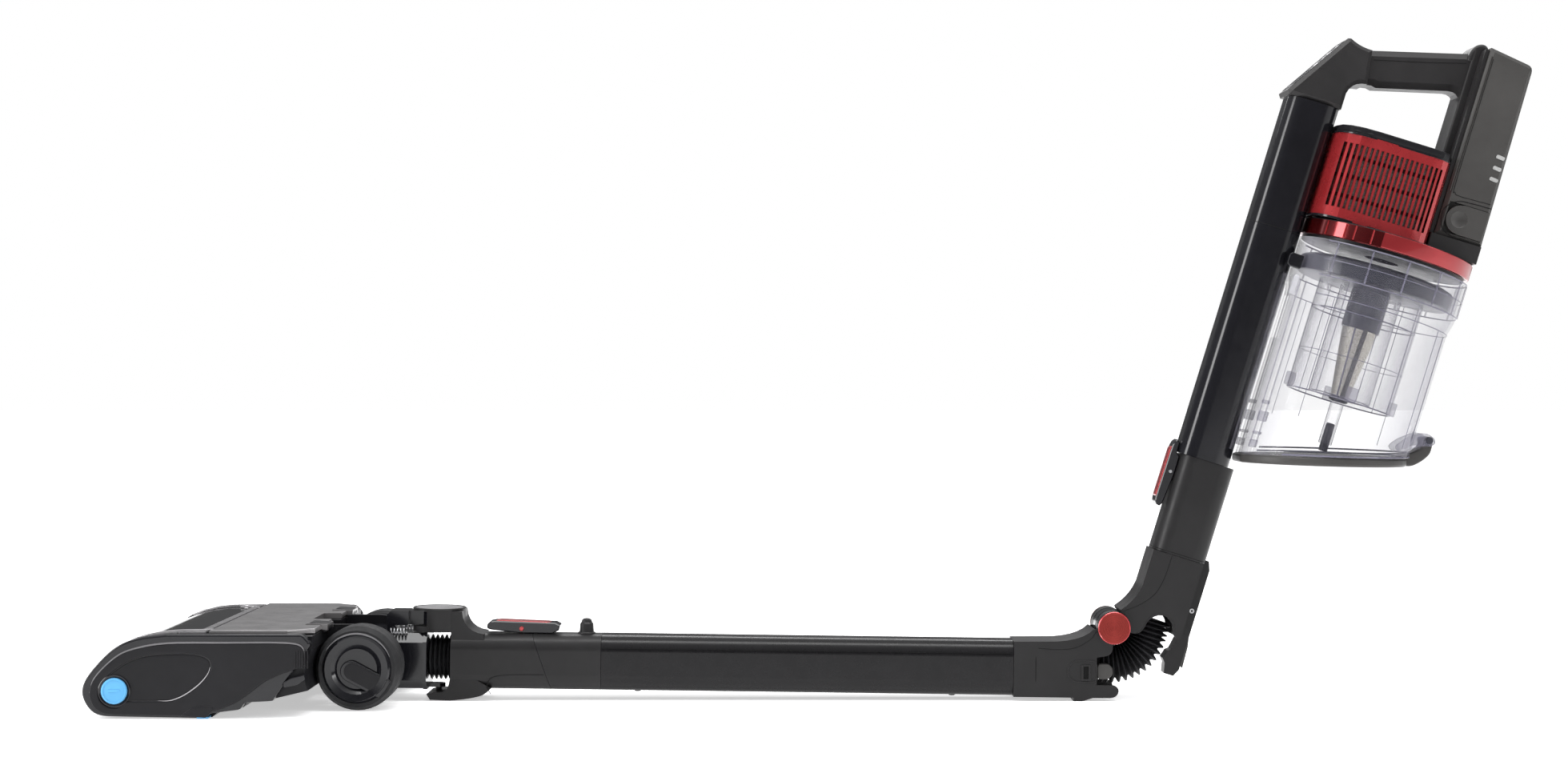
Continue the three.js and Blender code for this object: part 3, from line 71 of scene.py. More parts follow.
# ---- materials
def tree(name):
    material = bpy.data.materials.new(name)
    material.use_nodes = True
    nt = material.node_tree
    return material, nt, nt.nodes["Principled BSDF"]


def link(nt, out, socket):
    nt.links.new(out, socket)


def coords(nt, scale=(1, 1, 1)):
    """The object's own coordinates, stretched by scale."""
    where = nt.nodes.new("ShaderNodeTexCoord")
    mapping = nt.nodes.new("ShaderNodeMapping")
    mapping.inputs["Scale"].default_value = scale
    link(nt, where.outputs["Object"], mapping.inputs["Vector"])
    return mapping.outputs["Vector"]


def noise(nt, vector, scale, detail=3, roughness=0.5):
    n = nt.nodes.new("ShaderNodeTexNoise")
    n.inputs["Scale"].default_value = scale
    n.inputs["Detail"].default_value = detail
    n.inputs["Roughness"].default_value = roughness
    link(nt, vector, n.inputs["Vector"])
    return n.outputs["Fac"]


def voronoi(nt, vector, scale):
    n = nt.nodes.new("ShaderNodeTexVoronoi")
    n.inputs["Scale"].default_value = scale
    link(nt, vector, n.inputs["Vector"])
    return n.outputs["Distance"]


def ramp(nt, fac, stops):
    """Colours along fac, as pairs of place and colour."""
    r = nt.nodes.new("ShaderNodeValToRGB")
    while len(r.color_ramp.elements) < len(stops):
        r.color_ramp.elements.new(0.5)
    for e, (at, color) in zip(r.color_ramp.elements, stops):
        e.position = at
        e.color = (*color, 1)
    link(nt, fac, r.inputs["Fac"])
    return r.outputs["Color"]


def spread(nt, fac, low, high, start=0.3, end=0.7):
    """fac from start to end, turned into low to high."""
    m = nt.nodes.new("ShaderNodeMapRange")
    m.inputs["From Min"].default_value = start
    m.inputs["From Max"].default_value = end
    m.inputs["To Min"].default_value = low
    m.inputs["To Max"].default_value = high
    link(nt, fac, m.inputs["Value"])
    return m.outputs["Result"]


def bump(nt, height, strength, distance, shader):
    b = nt.nodes.new("ShaderNodeBump")
    b.inputs["Strength"].default_value = strength
    b.inputs["Distance"].default_value = distance
    link(nt, height, b.inputs["Height"])
    link(nt, b.outputs["Normal"], shader.inputs["Normal"])


def tint(nt, shader, fac, color, *stops):
    """Base colour that is color times a factor along fac: stops are pairs of place and factor."""
    tones = [(at, tuple(min(1, c * factor) for c in color)) for at, factor in stops]
    link(nt, ramp(nt, fac, tones), shader.inputs["Base Color"])


def roughen(nt, shader, fac, low, high):
    link(nt, spread(nt, fac, low, high), shader.inputs["Roughness"])


def moulded(name, color, rough=0.4, vary=0.06, grain=1800, strength=0.12, specular=0.4, coat=0.0):
    """Moulded plastic: spark-eroded grain, slow drift of tone, handling haze in the roughness."""
    material, nt, s = tree(name)
    v = coords(nt)
    slow = noise(nt, v, 28, 4)
    fine = noise(nt, v, grain, 2)
    tint(nt, s, slow, color, (0.3, 0.88), (0.7, 1.12))
    roughen(nt, s, noise(nt, v, 90, 5, 0.6), rough - vary, rough + vary)
    bump(nt, fine, strength, 0.00012, s)
    s.inputs["Specular IOR Level"].default_value = specular
    s.inputs["Coat Weight"].default_value = coat
    s.inputs["Coat Roughness"].default_value = 0.06
    return material


def lacquer(name, color, flake=5200, metallic=0.85, rough=0.3):
    """Metallic lacquer on plastic: fine flakes that tip the shading, under a clear coat."""
    material, nt, s = tree(name)
    v = coords(nt)
    flakes = voronoi(nt, v, flake)
    tint(nt, s, flakes, color, (0.1, 1.14), (0.6, 0.88))
    roughen(nt, s, noise(nt, v, 60, 4), rough - 0.05, rough + 0.06)
    bump(nt, flakes, 0.06, 0.00005, s)
    s.inputs["Metallic"].default_value = metallic
    s.inputs["Coat Weight"].default_value = 0.5
    s.inputs["Coat Roughness"].default_value = 0.08
    return material


def clear(name, color, low=0.1, high=0.75, rough=0.05, power=0.35):
    """Thin clear plastic: nearly nothing square on, tinted and bright along its edges."""
    material, nt, s = tree(name)
    v = coords(nt)
    facing = nt.nodes.new("ShaderNodeLayerWeight")
    facing.inputs["Blend"].default_value = power
    tint(nt, s, facing.outputs["Facing"], color, (0, 1), (0.85, 0.55))
    haze = spread(nt, noise(nt, v, 35, 4), 0.0, 0.03)
    alpha = spread(nt, facing.outputs["Facing"], low, high, 0.05, 1)
    add = nt.nodes.new("ShaderNodeMath")
    add.operation = "ADD"
    link(nt, alpha, add.inputs[0])
    link(nt, haze, add.inputs[1])
    link(nt, add.outputs["Value"], s.inputs["Alpha"])
    roughen(nt, s, noise(nt, v, 140, 3), rough, rough + 0.05)
    bump(nt, noise(nt, v, 45, 2), 0.012, 0.0003, s)
    s.inputs["Specular IOR Level"].default_value = 0.8
    return material


def turned(name, color, centre, rough=0.28):
    """Spun metal look: fine rings about the turning axis, which lies along Y through centre (x, z)."""
    material, nt, s = tree(name)
    where = nt.nodes.new("ShaderNodeTexCoord")
    mapping = nt.nodes.new("ShaderNodeMapping")
    mapping.inputs["Location"].default_value = (-centre[0], 0, -centre[1])
    mapping.inputs["Scale"].default_value = (1, 0, 1)
    link(nt, where.outputs["Object"], mapping.inputs["Vector"])
    length = nt.nodes.new("ShaderNodeVectorMath")
    length.operation = "LENGTH"
    link(nt, mapping.outputs["Vector"], length.inputs[0])
    ring = nt.nodes.new("ShaderNodeTexNoise")
    ring.noise_dimensions = "1D"
    ring.inputs["Scale"].default_value = 2600
    ring.inputs["Detail"].default_value = 2
    link(nt, length.outputs["Value"], ring.inputs["W"])
    tint(nt, s, ring.outputs["Fac"], color, (0.3, 0.75), (0.7, 1.3))
    roughen(nt, s, ring.outputs["Fac"], rough - 0.06, rough + 0.1)
    bump(nt, ring.outputs["Fac"], 0.25, 0.00008, s)
    s.inputs["Metallic"].default_value = 0.9
    s.inputs["Anisotropic"].default_value = 0.8
    around = nt.nodes.new("ShaderNodeTangent")
    around.direction_type = "RADIAL"
    around.axis = "Y"
    link(nt, around.outputs["Tangent"], s.inputs["Tangent"])
    return material


def rubbery(name, color, rough):
    """Dull rubber, dusty in its tone."""
    material, nt, s = tree(name)
    v = coords(nt)
    tint(nt, s, noise(nt, v, 60, 5), color, (0.3, 0.7), (0.7, 1.5))
    roughen(nt, s, noise(nt, v, 200, 3), rough - 0.1, rough + 0.1)
    bump(nt, noise(nt, v, 900, 3), 0.25, 0.0002, s)
    s.inputs["Specular IOR Level"].default_value = 0.3
    return material


def metal(name, color, rough=0.35):
    """Metal brushed along the machine."""
    material, nt, s = tree(name)
    v = coords(nt, (1, 40, 1))
    brushed = noise(nt, v, 300, 4)
    tint(nt, s, brushed, color, (0.3, 0.85), (0.7, 1.15))
    roughen(nt, s, brushed, rough - 0.08, rough + 0.08)
    bump(nt, brushed, 0.1, 0.0001, s)
    s.inputs["Metallic"].default_value = 1
    return material


def perforated(name, color):
    """Fine punched mesh: a close grid of dark holes."""
    material, nt, s = tree(name)
    v = coords(nt)
    holes = voronoi(nt, v, 1100)
    tint(nt, s, holes, color, (0.2, 0.18), (0.45, 1), (0.8, 1.25))
    roughen(nt, s, noise(nt, v, 200), 0.3, 0.5)
    bump(nt, holes, 0.7, 0.0003, s)
    s.inputs["Metallic"].default_value = 0.6
    return material


def pile(name, color, scale=1500):
    """Short fibres, seen as tufts."""
    material, nt, s = tree(name)
    v = coords(nt, (1, 0.35, 1))
    tufts = noise(nt, v, scale, 5, 0.7)
    tint(nt, s, tufts, color, (0.3, 0.4), (0.7, 1.6))
    roughen(nt, s, tufts, 0.8, 1.0)
    bump(nt, tufts, 0.9, 0.0008, s)
    s.inputs["Sheen Weight"].default_value = 0.5
    return material


def pleats(name, color):
    """Folded filter paper."""
    material, nt, s = tree(name)
    v = coords(nt)
    wave = nt.nodes.new("ShaderNodeTexWave")
    wave.inputs["Scale"].default_value = 260
    wave.inputs["Distortion"].default_value = 0.6
    link(nt, v, wave.inputs["Vector"])
    tint(nt, s, wave.outputs["Fac"], color, (0.1, 0.5), (0.9, 1.2))
    roughen(nt, s, noise(nt, v, 400), 0.8, 0.95)
    bump(nt, wave.outputs["Fac"], 0.8, 0.001, s)
    return material


SATIN = moulded("satin_black", (0.0095, 0.0093, 0.0108), 0.34, specular=0.19)
GLOSS = moulded("gloss_black", (0.008, 0.008, 0.010), 0.15, 0.04, 700, 0.03, 0.30, 0.12)
CHARCOAL = moulded("charcoal", (0.052, 0.050, 0.048), 0.42, 0.05, 1500, 0.14, 0.25)
BODY = moulded("body_charcoal", (0.022, 0.021, 0.0215), 0.36, 0.05, 1500, 0.1, 0.24)
WAND_BLACK = moulded("wand_anodised", (0.0068, 0.0064, 0.0072), 0.28, 0.05, 2200, 0.06, 0.20, 0.06)
SHELL = moulded("socket_black", (0.015, 0.0145, 0.015), 0.38, 0.05, 1700, 0.12, 0.22)
# near black for seams and dark bars; in the tube's side groove and the lock slot it is painted shade
DARK = moulded("seam_and_shade_black", (0.003, 0.003, 0.003), 0.7, 0.05, 900, 0.1, 0.2)
# painted highlight: light grey for lines that stand in for light caught along the teardrop's lower lip and
# the window's edge
PAINTED_EDGE_LIGHT = moulded("painted_edge_highlight", (0.30, 0.29, 0.30), 0.2, 0.05, 900, 0.04, 0.8)
TRIM = lacquer("silver_trim", (0.42, 0.41, 0.42), 3000, 0.6, 0.25)
COVER = lacquer("cover_silver", (0.20, 0.193, 0.195), 4200, 0.45, 0.34)
RED = lacquer("red_lacquer", (0.40, 0.026, 0.030), 5200, 0.55, 0.27)
RED_PLATE = lacquer("red_plate", (0.33, 0.024, 0.028), 5200, 0.7, 0.33)
RED_CAP = turned("red_spun", (0.20, 0.026, 0.022), (HINGE.x, HINGE.z))
BLUE = moulded("knob_blue", (0.10, 0.37, 0.66), 0.42, 0.05, 1200, 0.1, 0.4)
RUBBER = rubbery("bellows_rubber", (0.010, 0.010, 0.011), 0.46)
TYRE = rubbery("tyre_rubber", (0.016, 0.016, 0.017), 0.7)
STEEL = metal("steel", (0.42, 0.42, 0.43))
CAN = metal("motor_can", (0.30, 0.29, 0.29), 0.42)
MESH = perforated("punched_mesh", (0.42, 0.40, 0.35))
RING = moulded("filter_grey", (0.026, 0.027, 0.038), 0.34, 0.05, 1200, 0.08, 0.45)
CLEAR = clear("clear_cup", (0.42, 0.41, 0.49), 0.018, 0.50, 0.04, 0.25)
CLEAR_EDGE = clear("clear_edge", (0.24, 0.23, 0.31), 0.30, 0.85)
# painted shade: dark violet lines on the clear plastic's edges, rims and beads, standing in for the dark
# edges that refraction shows there
LINE = moulded("painted_dark_outline", (0.13, 0.125, 0.17), 0.25, 0.05, 900, 0.04, 0.5)
# painted highlight: a light grey for thin lines that stand in for light caught on the cap's top edge and on
# the wheel faces
PAINTED_HIGHLIGHT = moulded("painted_highlight_grey", (0.13, 0.127, 0.132), 0.3, 0.05, 900, 0.04, 0.4)
FROST = clear("clear_frosted", (0.85, 0.85, 0.9), 0.5, 0.95, 0.25)
SMOKE = clear("smoked_window", (0.012, 0.013, 0.016), 0.72, 0.97, 0.03)
LENS = clear("headlight_lens", (0.8, 0.82, 0.85), 0.3, 0.9, 0.04)
PILE = pile("roller_pile", (0.035, 0.035, 0.04))
BRISTLE = pile("bristle_blue", (0.03, 0.16, 0.42), 2500)
PAPER = pleats("filter_pleats", (0.16, 0.155, 0.15))
LED = moulded("led_white", (0.36, 0.36, 0.355), 0.35, 0.05, 900, 0.05, 0.5)
RED_DEEP = lacquer("red_deep", (0.16, 0.008, 0.010), 5200, 0.85, 0.12)
PERF_GREY = perforated("motor_screen_mesh", (0.13, 0.128, 0.12))
PANEL = moulded("panel_grey", (0.46, 0.455, 0.465), 0.18, 0.04, 900, 0.03, 0.6, 0.5)


# ---- shading of carried-over nodes
def smooth_group(degrees):
    """Geometry nodes: smooth shading, with edges sharper than the angle kept hard."""
    g = bpy.data.node_groups.new(f"smooth_{degrees}", "GeometryNodeTree")
    g.interface.new_socket("Geometry", in_out="INPUT", socket_type="NodeSocketGeometry")
    g.interface.new_socket("Geometry", in_out="OUTPUT", socket_type="NodeSocketGeometry")
    gin, gout = g.nodes.new("NodeGroupInput"), g.nodes.new("NodeGroupOutput")
    angle = g.nodes.new("GeometryNodeInputMeshEdgeAngle")
    compare = g.nodes.new("FunctionNodeCompare")
    compare.operation = "LESS_EQUAL"
    compare.inputs["B"].default_value = math.radians(degrees)
    faces = g.nodes.new("GeometryNodeSetShadeSmooth")
    faces.domain = "FACE"
    edges = g.nodes.new("GeometryNodeSetShadeSmooth")
    edges.domain = "EDGE"
    g.links.new(angle.outputs["Unsigned Angle"], compare.inputs["A"])
    g.links.new(gin.outputs[0], faces.inputs["Geometry"])
    g.links.new(faces.outputs["Geometry"], edges.inputs["Geometry"])
    g.links.new(compare.outputs["Result"], edges.inputs["Shade Smooth"])
    g.links.new(edges.outputs["Geometry"], gout.inputs[0])
    return g


SMOOTH_CAD, SMOOTH_PIECE = smooth_group(24), smooth_group(40)


def finish_mesh(o, smoothing):
    o.modifiers.new("weld", "WELD").merge_threshold = 2e-6
    o.modifiers.new("smooth", "NODES").node_group = smoothing
    o.modifiers.new("weighted", "WEIGHTED_NORMAL").keep_sharp = True


def dress(name, material):
    """Give a CAD node its material and smooth shading."""
    o = nodes[name]
    o.data.materials.clear()
    o.data.materials.append(material)
    if "custom_normal" in o.data.attributes:
        o.data.attributes.remove(o.data.attributes["custom_normal"])
    finish_mesh(o, SMOOTH_CAD)


DRESS = (
    (SATIN, "head_chassis front_bumper end_cap_left end_cap_right motor_cap power_button "
            "mode_button impeller"),
    (LENS, "headlight_lens"),
    (SMOKE, "head_window"),
    (TRIM, "window_trim"),
    (COVER, "head_top_cover"),
    (RUBBER, "roller_belt brush_belt neck_bellows fold_bellows"),
    (CAN, "brush_motor suction_motor"),
    (STEEL, "wheel_axle_left wheel_axle_right motor_pulley hinge_pin lid_pin"),
    (BLUE, "roller_release_knob"),
    (PILE, "front_roller brush_roll"),
    (GLOSS, "wheel_hub_left wheel_hub_right neck_duct lower_release_lever hinge_barrel "
            "upper_release_lever main_tube lid_button"),
    (TYRE, "wheel_tyre_left wheel_tyre_right"),
    (SHELL, "connector_shell wand_sleeve parking_pin lower_hinge_housing upper_hinge_housing "
            "upper_stub fold_release_lever"),
    (PANEL, "turret_cap display_panel"),
    (WAND_BLACK, "wand_tube"),
    (RED_CAP, "hinge_cap_left hinge_cap_right"),
    (BODY, "handle_shell"),
    (RED, "motor_housing red_band"),
    (PAPER, "exhaust_filter"),
    (CHARCOAL, "battery battery_button_left battery_button_right cup_lid"),
    (CLEAR, "cup_shell cup_shroud"),
    (MESH, "mesh_cone"),
    (RING, "filter_ring"),
)
for material, names in DRESS:
    for name in names.split():
        dress(name, material)

# ---- piece builders, in millimetres of a frame
def fillet(points, radius, steps=4):
    """Closed outline with its corners rounded off."""
    out = []
    count = len(points)
    for i, p in enumerate(points):
        p = Vector(p)
        before, after = Vector(points[i - 1]), Vector(points[(i + 1) % count])
        r = min(radius, (before - p).length * 0.45, (after - p).length * 0.45)
        a, b = p + (before - p).normalized() * r, p + (after - p).normalized() * r
        for k in range(steps + 1):
            t = k / steps
            out.append(tuple(a * (1 - t) ** 2 + p * 2 * t * (1 - t) + b * t * t))
    return out


def panel(x0, x1, y0, y1, radius, steps=4):
    """Rectangle with rounded corners."""
    return fillet([(x0, y0), (x1, y0), (x1, y1), (x0, y1)], radius, steps)


def through(points, steps=6, closed=False):
    """Smooth line through points, two or three numbers each."""
    pts = [Vector(p) for p in points]
    count = len(pts)
    out = []
    for i in range(count if closed else count - 1):
        p1, p2 = pts[i], pts[(i + 1) % count]
        p0 = pts[i - 1] if closed or i > 0 else p1 * 2 - p2
        p3 = pts[(i + 2) % count] if closed or i + 2 < count else p2 * 2 - p1
        for k in range(steps):
            t = k / steps
            out.append(tuple(0.5 * (2 * p1 + (p2 - p0) * t + (2 * p0 - 5 * p1 + 4 * p2 - p3) * t * t
                                    + (3 * p1 - p0 - 3 * p2 + p3) * t ** 3)))
    if not closed:
        out.append(tuple(pts[-1]))
    return out


def polar(radius, degrees, cx=0.0, cy=0.0):
    t = math.radians(degrees)
    return cx + radius * math.cos(t), cy + radius * math.sin(t)


def ring_of(radius, cx, cy, sides):
    return [polar(radius, 360 * i / sides, cx, cy) for i in range(sides)]


def span(side, a, b):
    """From a to b on the right side, mirrored on the left."""
    return sorted((side * a, side * b))


def on_side(outline, y):
    return [(x, y, z) for x, z in outline]


def upright(x, y, heights):
    return [(x, y, z) for z in heights]


def taper(broad, thin, power):
    """Radius of a line that swells in its middle."""
    return lambda t: thin + broad * math.sin(math.pi * t) ** power


def place(name, mesh, mount, material):
    """Bring a mesh from millimetres into its frame, on its body, with its material."""
    frame_matrix, body = mount
    mesh.transform(Matrix.Scale(MM, 4))
    mesh.transform(frame_matrix)
    mesh.materials.clear()
    mesh.materials.append(material)
    o = bpy.data.objects.new(name, mesh)
    bpy.context.scene.collection.objects.link(o)
    finish_mesh(o, SMOOTH_PIECE)
    if body:
        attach(o, body)
    return o


PLANES = {
    "XZ": Matrix(((1, 0, 0, 0), (0, 0, -1, 0), (0, 1, 0, 0), (0, 0, 0, 1))),
    "XY": Matrix.Identity(4),
}


def plate(name, mount, material, loops, low, high, bevel=0.4, plane="XZ", rounds=2, slot=None):
    """Flat plate with bevelled edges: the first loop is its outline, the rest are holes."""
    curve = bpy.data.curves.new(name, "CURVE")
    curve.dimensions = "2D"
    curve.fill_mode = "BOTH"
    curve.extrude = abs(high - low) / 2 - bevel
    curve.bevel_depth = bevel
    curve.bevel_resolution = rounds
    curve.offset = -bevel
    for loop in loops:
        spline = curve.splines.new("POLY")
        spline.points.add(len(loop) - 1)
        for point, (a, b) in zip(spline.points, loop):
            point.co = (a, b, 0, 1)
        spline.use_cyclic_u = True
    carrier = bpy.data.objects.new(name + "_curve", curve)
    bpy.context.scene.collection.objects.link(carrier)
    mesh = bpy.data.meshes.new_from_object(carrier.evaluated_get(bpy.context.evaluated_depsgraph_get()))
    bpy.data.objects.remove(carrier)
    bpy.data.curves.remove(curve)
    mesh.transform(Matrix.Translation((0, 0, (-1 if plane == "XZ" else 1) * (low + high) / 2)))
    mesh.transform(PLANES[plane])
    bm = bmesh.new()
    bm.from_mesh(mesh)
    to_mesh(bm, mesh)
    return place(name, mesh, mount, material)


def to_mesh(bm, mesh):
    """Weld, turn every face outwards and hand the result to mesh."""
    bmesh.ops.remove_doubles(bm, verts=bm.verts, dist=1e-4)
    bmesh.ops.recalc_face_normals(bm, faces=bm.faces)
    bm.to_mesh(mesh)
    bm.free()


def grid_mesh(name, rings, closed_ring=True, closed_path=False, caps=True):
    """Mesh over rows of points, with flat ends."""
    bm = bmesh.new()
    rows = [[bm.verts.new(p) for p in ring] for ring in rings]
    count = len(rings[0])
    for i in range(len(rows) if closed_path else len(rows) - 1):
        a, b = rows[i], rows[(i + 1) % len(rows)]
        for j in range(count if closed_ring else count - 1):
            k = (j + 1) % count
            bm.faces.new((a[j], a[k], b[k], b[j]))
    if caps and closed_ring and not closed_path:
        bm.faces.new(rows[0])
        bm.faces.new(list(reversed(rows[-1])))
    mesh = bpy.data.meshes.new(name)
    to_mesh(bm, mesh)
    return mesh


def lathe(name, mount, material, profile, centre=(0, 0), axis="Z", sides=48, arc=(0, 360)):
    """Turned piece: profile as (radius, height); a closed profile repeats its first point."""
    full = arc[1] - arc[0] == 360
    closed = profile[0] == profile[-1]
    line = profile[:-1] if closed else profile
    rings = []
    for i in range(sides if full else sides + 1):
        angle = arc[0] + (arc[1] - arc[0]) * i / sides
        ring = []
        for r, h in line:
            a, b = polar(r, angle, *centre)
            ring.append((a, b, h) if axis == "Z" else (a, h, b))
        rings.append(ring)
    return place(name, grid_mesh(name, rings, closed, full, caps=not full), mount, material)


def band_of(inner, outer, low, high):
    """Closed profile of a plain ring, for lathe."""
    return [(inner, low), (outer, low), (outer, high), (inner, high), (inner, low)]


def sweep(name, mount, material, points, radius, sides=8, closed=False, flat=1.0):
    """Round or flattened bar along points; radius is a number, or a function of the way along."""
    pts = [Vector(p) for p in points]
    count = len(pts)
    tangents = []
    for i in range(count):
        a = pts[i - 1] if i or closed else pts[0]
        b = pts[(i + 1) % count] if i + 1 < count or closed else pts[-1]
        tangents.append((b - a).normalized())
    side = tangents[0].orthogonal().normalized()
    if abs(tangents[0].y) < 0.9:
        side = Vector((0, 1, 0)).cross(tangents[0]).normalized()
    rings = []
    for i, (p, t) in enumerate(zip(pts, tangents)):
        side = (side - t * side.dot(t)).normalized()
        up = t.cross(side)
        r = radius(i / (count - 1)) if callable(radius) else radius
        rings.append([tuple(p + side * r * math.cos(2 * math.pi * j / sides)
                            + up * r * flat * math.sin(2 * math.pi * j / sides)) for j in range(sides)])
    return place(name, grid_mesh(name, rings, True, closed), mount, material)


# ---- floor head
CAP_TOP = [(-88.2, 20), (-83.3, 33.6), (-65, 53), (-47, 61.2), (-23, 64.6)]
CAP = through([(-59, 1.7), (-74, 2.6), (-83, 8), *CAP_TOP], 5)[:-1] + [
    (-23, 64.6), (80, 64.6), (86, 58), (86, 20.4), (55.5, 13.4), (36, 12.5), (32.6, 7), (9.7, 4.1), (6, 0.5)]
FACE_FRONT = [(-60, 3.2), (-72, 4.6), (-79.6, 10.5), (-82.2, 20), (-78, 32), (-62, 47.6), (-46, 54.4),
              (-22, 58.2)]
FACE = through(FACE_FRONT, 5)[:-1] + [
    (-22, 58.2), (60, 58.6), (77, 57.4), (82, 53), (82.6, 40), (74, 37.7), (66, 35), (52.1, 28.9),
    (41.1, 20.2), (30.2, 12.5), (18, 7.4), (9, 5), (5, 2)]
TEAR = through([
    (-54, 13.6), (-35.5, 14), (-20, 14.6), (-9.2, 18.7), (1.7, 26.7), (8.3, 34.4), (10.5, 40), (9.4, 44.7),
    (5, 47.8), (-2.6, 49.3), (-13.6, 50), (-35.5, 48.6), (-48.6, 45.4), (-59.5, 39.6), (-68.3, 32.6),
    (-74, 25.5), (-75.4, 20), (-73, 13.4), (-67, 9.4), (-60, 9.2)], 4, True)
# line of the painted highlight along the top edge of the face
HIGHLIGHT_CREST = [(-82.0, 20), (-77.8, 32), (-62, 47.4), (-46, 54.2), (-22, 58.0), (20, 58.3), (60, 58.4), (76, 57.2),
         (81.4, 53), (82.2, 44)]
LIP = [(-30, 14.1), (-20, 14.4), (-9.4, 18.6), (1.6, 26.6), (8.2, 34.4), (10.2, 40)]
SKIRT = [(-12.5, 2.7), (-4.8, 8.1), (6.1, 10.3), (12.7, 9.2), (10.5, 4.9), (7.2, 1.1)]
CAP_LATCH = [(66, 24), (76, 26), (82, 30), (82, 34), (72, 31.5), (66, 28)]
AXLE = (114.4, 33.0)
WHEEL_ROOM = 34.6
KNOB = (-63, 21.6)
ROLL_Z = 21.6

for word, side in SIDES:
    name = f"cap_{word}"
    outline = [p for p in fillet(CAP, 2, 2) if math.dist(p, AXLE) > WHEEL_ROOM or p[0] > 90]
    knob_hole = [ring_of(10.4, *KNOB, 40)] if side < 0 else []
    shell = plate(name, ON_HEAD, GLOSS, [outline] + knob_hole, *span(side, 113, 123.7), bevel=1.6, rounds=3)
    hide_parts("end_cap_left" if side < 0 else "end_cap_right")
    plate(name + "_face", ON_HEAD, SATIN, [fillet(FACE, 4, 3), TEAR], *span(side, 120, 125), bevel=1.1,
          rounds=3)
    inset = [(x * 0.985 - 0.5, z * 0.98 + 0.6) for x, z in TEAR]
    plate(name + "_tear", ON_HEAD, SATIN, [inset], *span(side, 120, 124.1), bevel=0.5)
    # painted highlight along the lower lip of the teardrop recess
    sweep(name + "_lip", ON_HEAD, PAINTED_EDGE_LIGHT, on_side(through(LIP), side * 124.75), taper(0.42, 0.04, 0.6))
    # painted highlight along the top edge of the face
    sweep(name + "_crest_highlight", ON_HEAD, PAINTED_HIGHLIGHT, on_side(through(HIGHLIGHT_CREST), side * 124.3), taper(0.55, 0.25, 0.6))
    plate(name + "_skirt", ON_HEAD, SATIN, [fillet(SKIRT, 1.5)], *span(side, 123, 125.5), bevel=0.5)
    for i in range(6):
        x = 74.5 + 1.9 * i
        rib = panel(x, x + 0.9, 38.5, 52.5, 0.3, 2)
        plate(f"{name}_rib{i}", ON_HEAD, SATIN, [rib], *span(side, 124.2, 125.5), bevel=0.25)
    plate(name + "_latch", ON_HEAD, GLOSS, [fillet(CAP_LATCH, 1.2)], *span(side, 121, 124.6), bevel=0.6)

lathe("knob_well", ON_HEAD, GLOSS, [(10.3, -123.4), (12.4, -123.4), (12.4, -124.9), (11.9, -125.2),
                                    (10.3, -124.6), (10.3, -123.4)], KNOB, "Y")
lathe("knob_rim", (HEAD, "release_knob"), BLUE, [(8.2, -125.7), (9.6, -125.7), (9.8, -126.0), (9.4, -126.3),
                                                 (8.6, -126.3), (8.2, -125.7)], KNOB, "Y")
knob_mark = fillet([(-67.5, 20.4), (-58.5, 21.6), (-58.5, 22.8), (-67.5, 22.8)], 0.5, 2)
plate("knob_mark", (HEAD, "release_knob"), BLUE, [knob_mark], -126.2, -125.6, 0.2)
plate("sole_blue_strip", ON_HEAD, BLUE, [panel(-0.5, 8.5, 0.3, 1.6, 0.4, 2)], -123.4, -114, 0.3)

# brush and roller rows that wind round the two rolls
for body, x, radius, turns, rows, material in (("bristle_roll", -21.5, 16.8, 0.9, 3, BRISTLE),
                                               ("soft_roller", -63, 19.0, 1.4, 2, PILE)):
    for row in range(rows):
        line = []
        for i in range(61):
            a, c = polar(radius, 360 * (turns * i / 60 + row / rows), x, ROLL_Z)
            line.append((a, -106 + 202 * i / 60, c))
        sweep(f"{body}_row{row}", (HEAD, body), material, line, 1.0, 6)

# painted highlight bead under the window, dark strip behind it, latches of the top cover
window_edge = through([
    (-72, -98, 48.3), (-60, -98, 55.6), (-46, -97.6, 61.2), (-24, -97, 64.6), (0, -96, 65.2),
    (9.6, -92, 65.3), (14.6, -80, 65.3), (15, -40, 65.3), (13.4, 14, 65.3), (8, 62, 65.3), (1, 92, 65.2),
    (-14, 97, 65)], 8)
sweep("window_highlight_bead", ON_HEAD, PAINTED_EDGE_LIGHT, window_edge, 0.75)
rear_window = [(x, y) for x, y, z in window_edge if x > -4 and z > 65] + [(-4, 96), (-4, -96)]
plate("window_rear", ON_HEAD, GLOSS, [rear_window], 64.4, 65.15, bevel=0.15, plane="XY", slot="smoke_window")
cover_latch = fillet([(71, 62), (88, 60), (90.5, 62.5), (89.6, 67.4), (76, 68.2), (71.6, 65.6)], 1.2)
for word, side in SIDES:
    plate(f"cover_latch_{word}", ON_HEAD, SATIN, [cover_latch], side * 58 - 9, side * 58 + 9, bevel=0.8)

# wheels: a raised bar across the face, painted highlight arcs round it, treads
BAR_TILT, BAR_HALF, BAR_REACH = -35.5, 8.3, 27.2
BAR_START = (AXLE[0] - 4.5, AXLE[1] - 1.6)
along_x, along_z = polar(1, BAR_TILT)


def bar_point(reach, aside):
    """A point of the bar, reach along it from the axle and aside to its left."""
    return AXLE[0] + along_x * reach - along_z * aside, AXLE[1] + along_z * reach + along_x * aside


BAR = [polar(BAR_HALF, BAR_TILT + 90 + 15 * i, *BAR_START) for i in range(13)]
BAR += [bar_point(BAR_REACH, -BAR_HALF), bar_point(BAR_REACH + 0.6, 0), bar_point(BAR_REACH, BAR_HALF)]
INLAY = [(AXLE[0] + (x - AXLE[0]) * 0.8 + along_x * 0.6, AXLE[1] + (z - AXLE[1]) * 0.8 + along_z * 0.6)
         for x, z in BAR]
WHEEL_FACE = 79.5
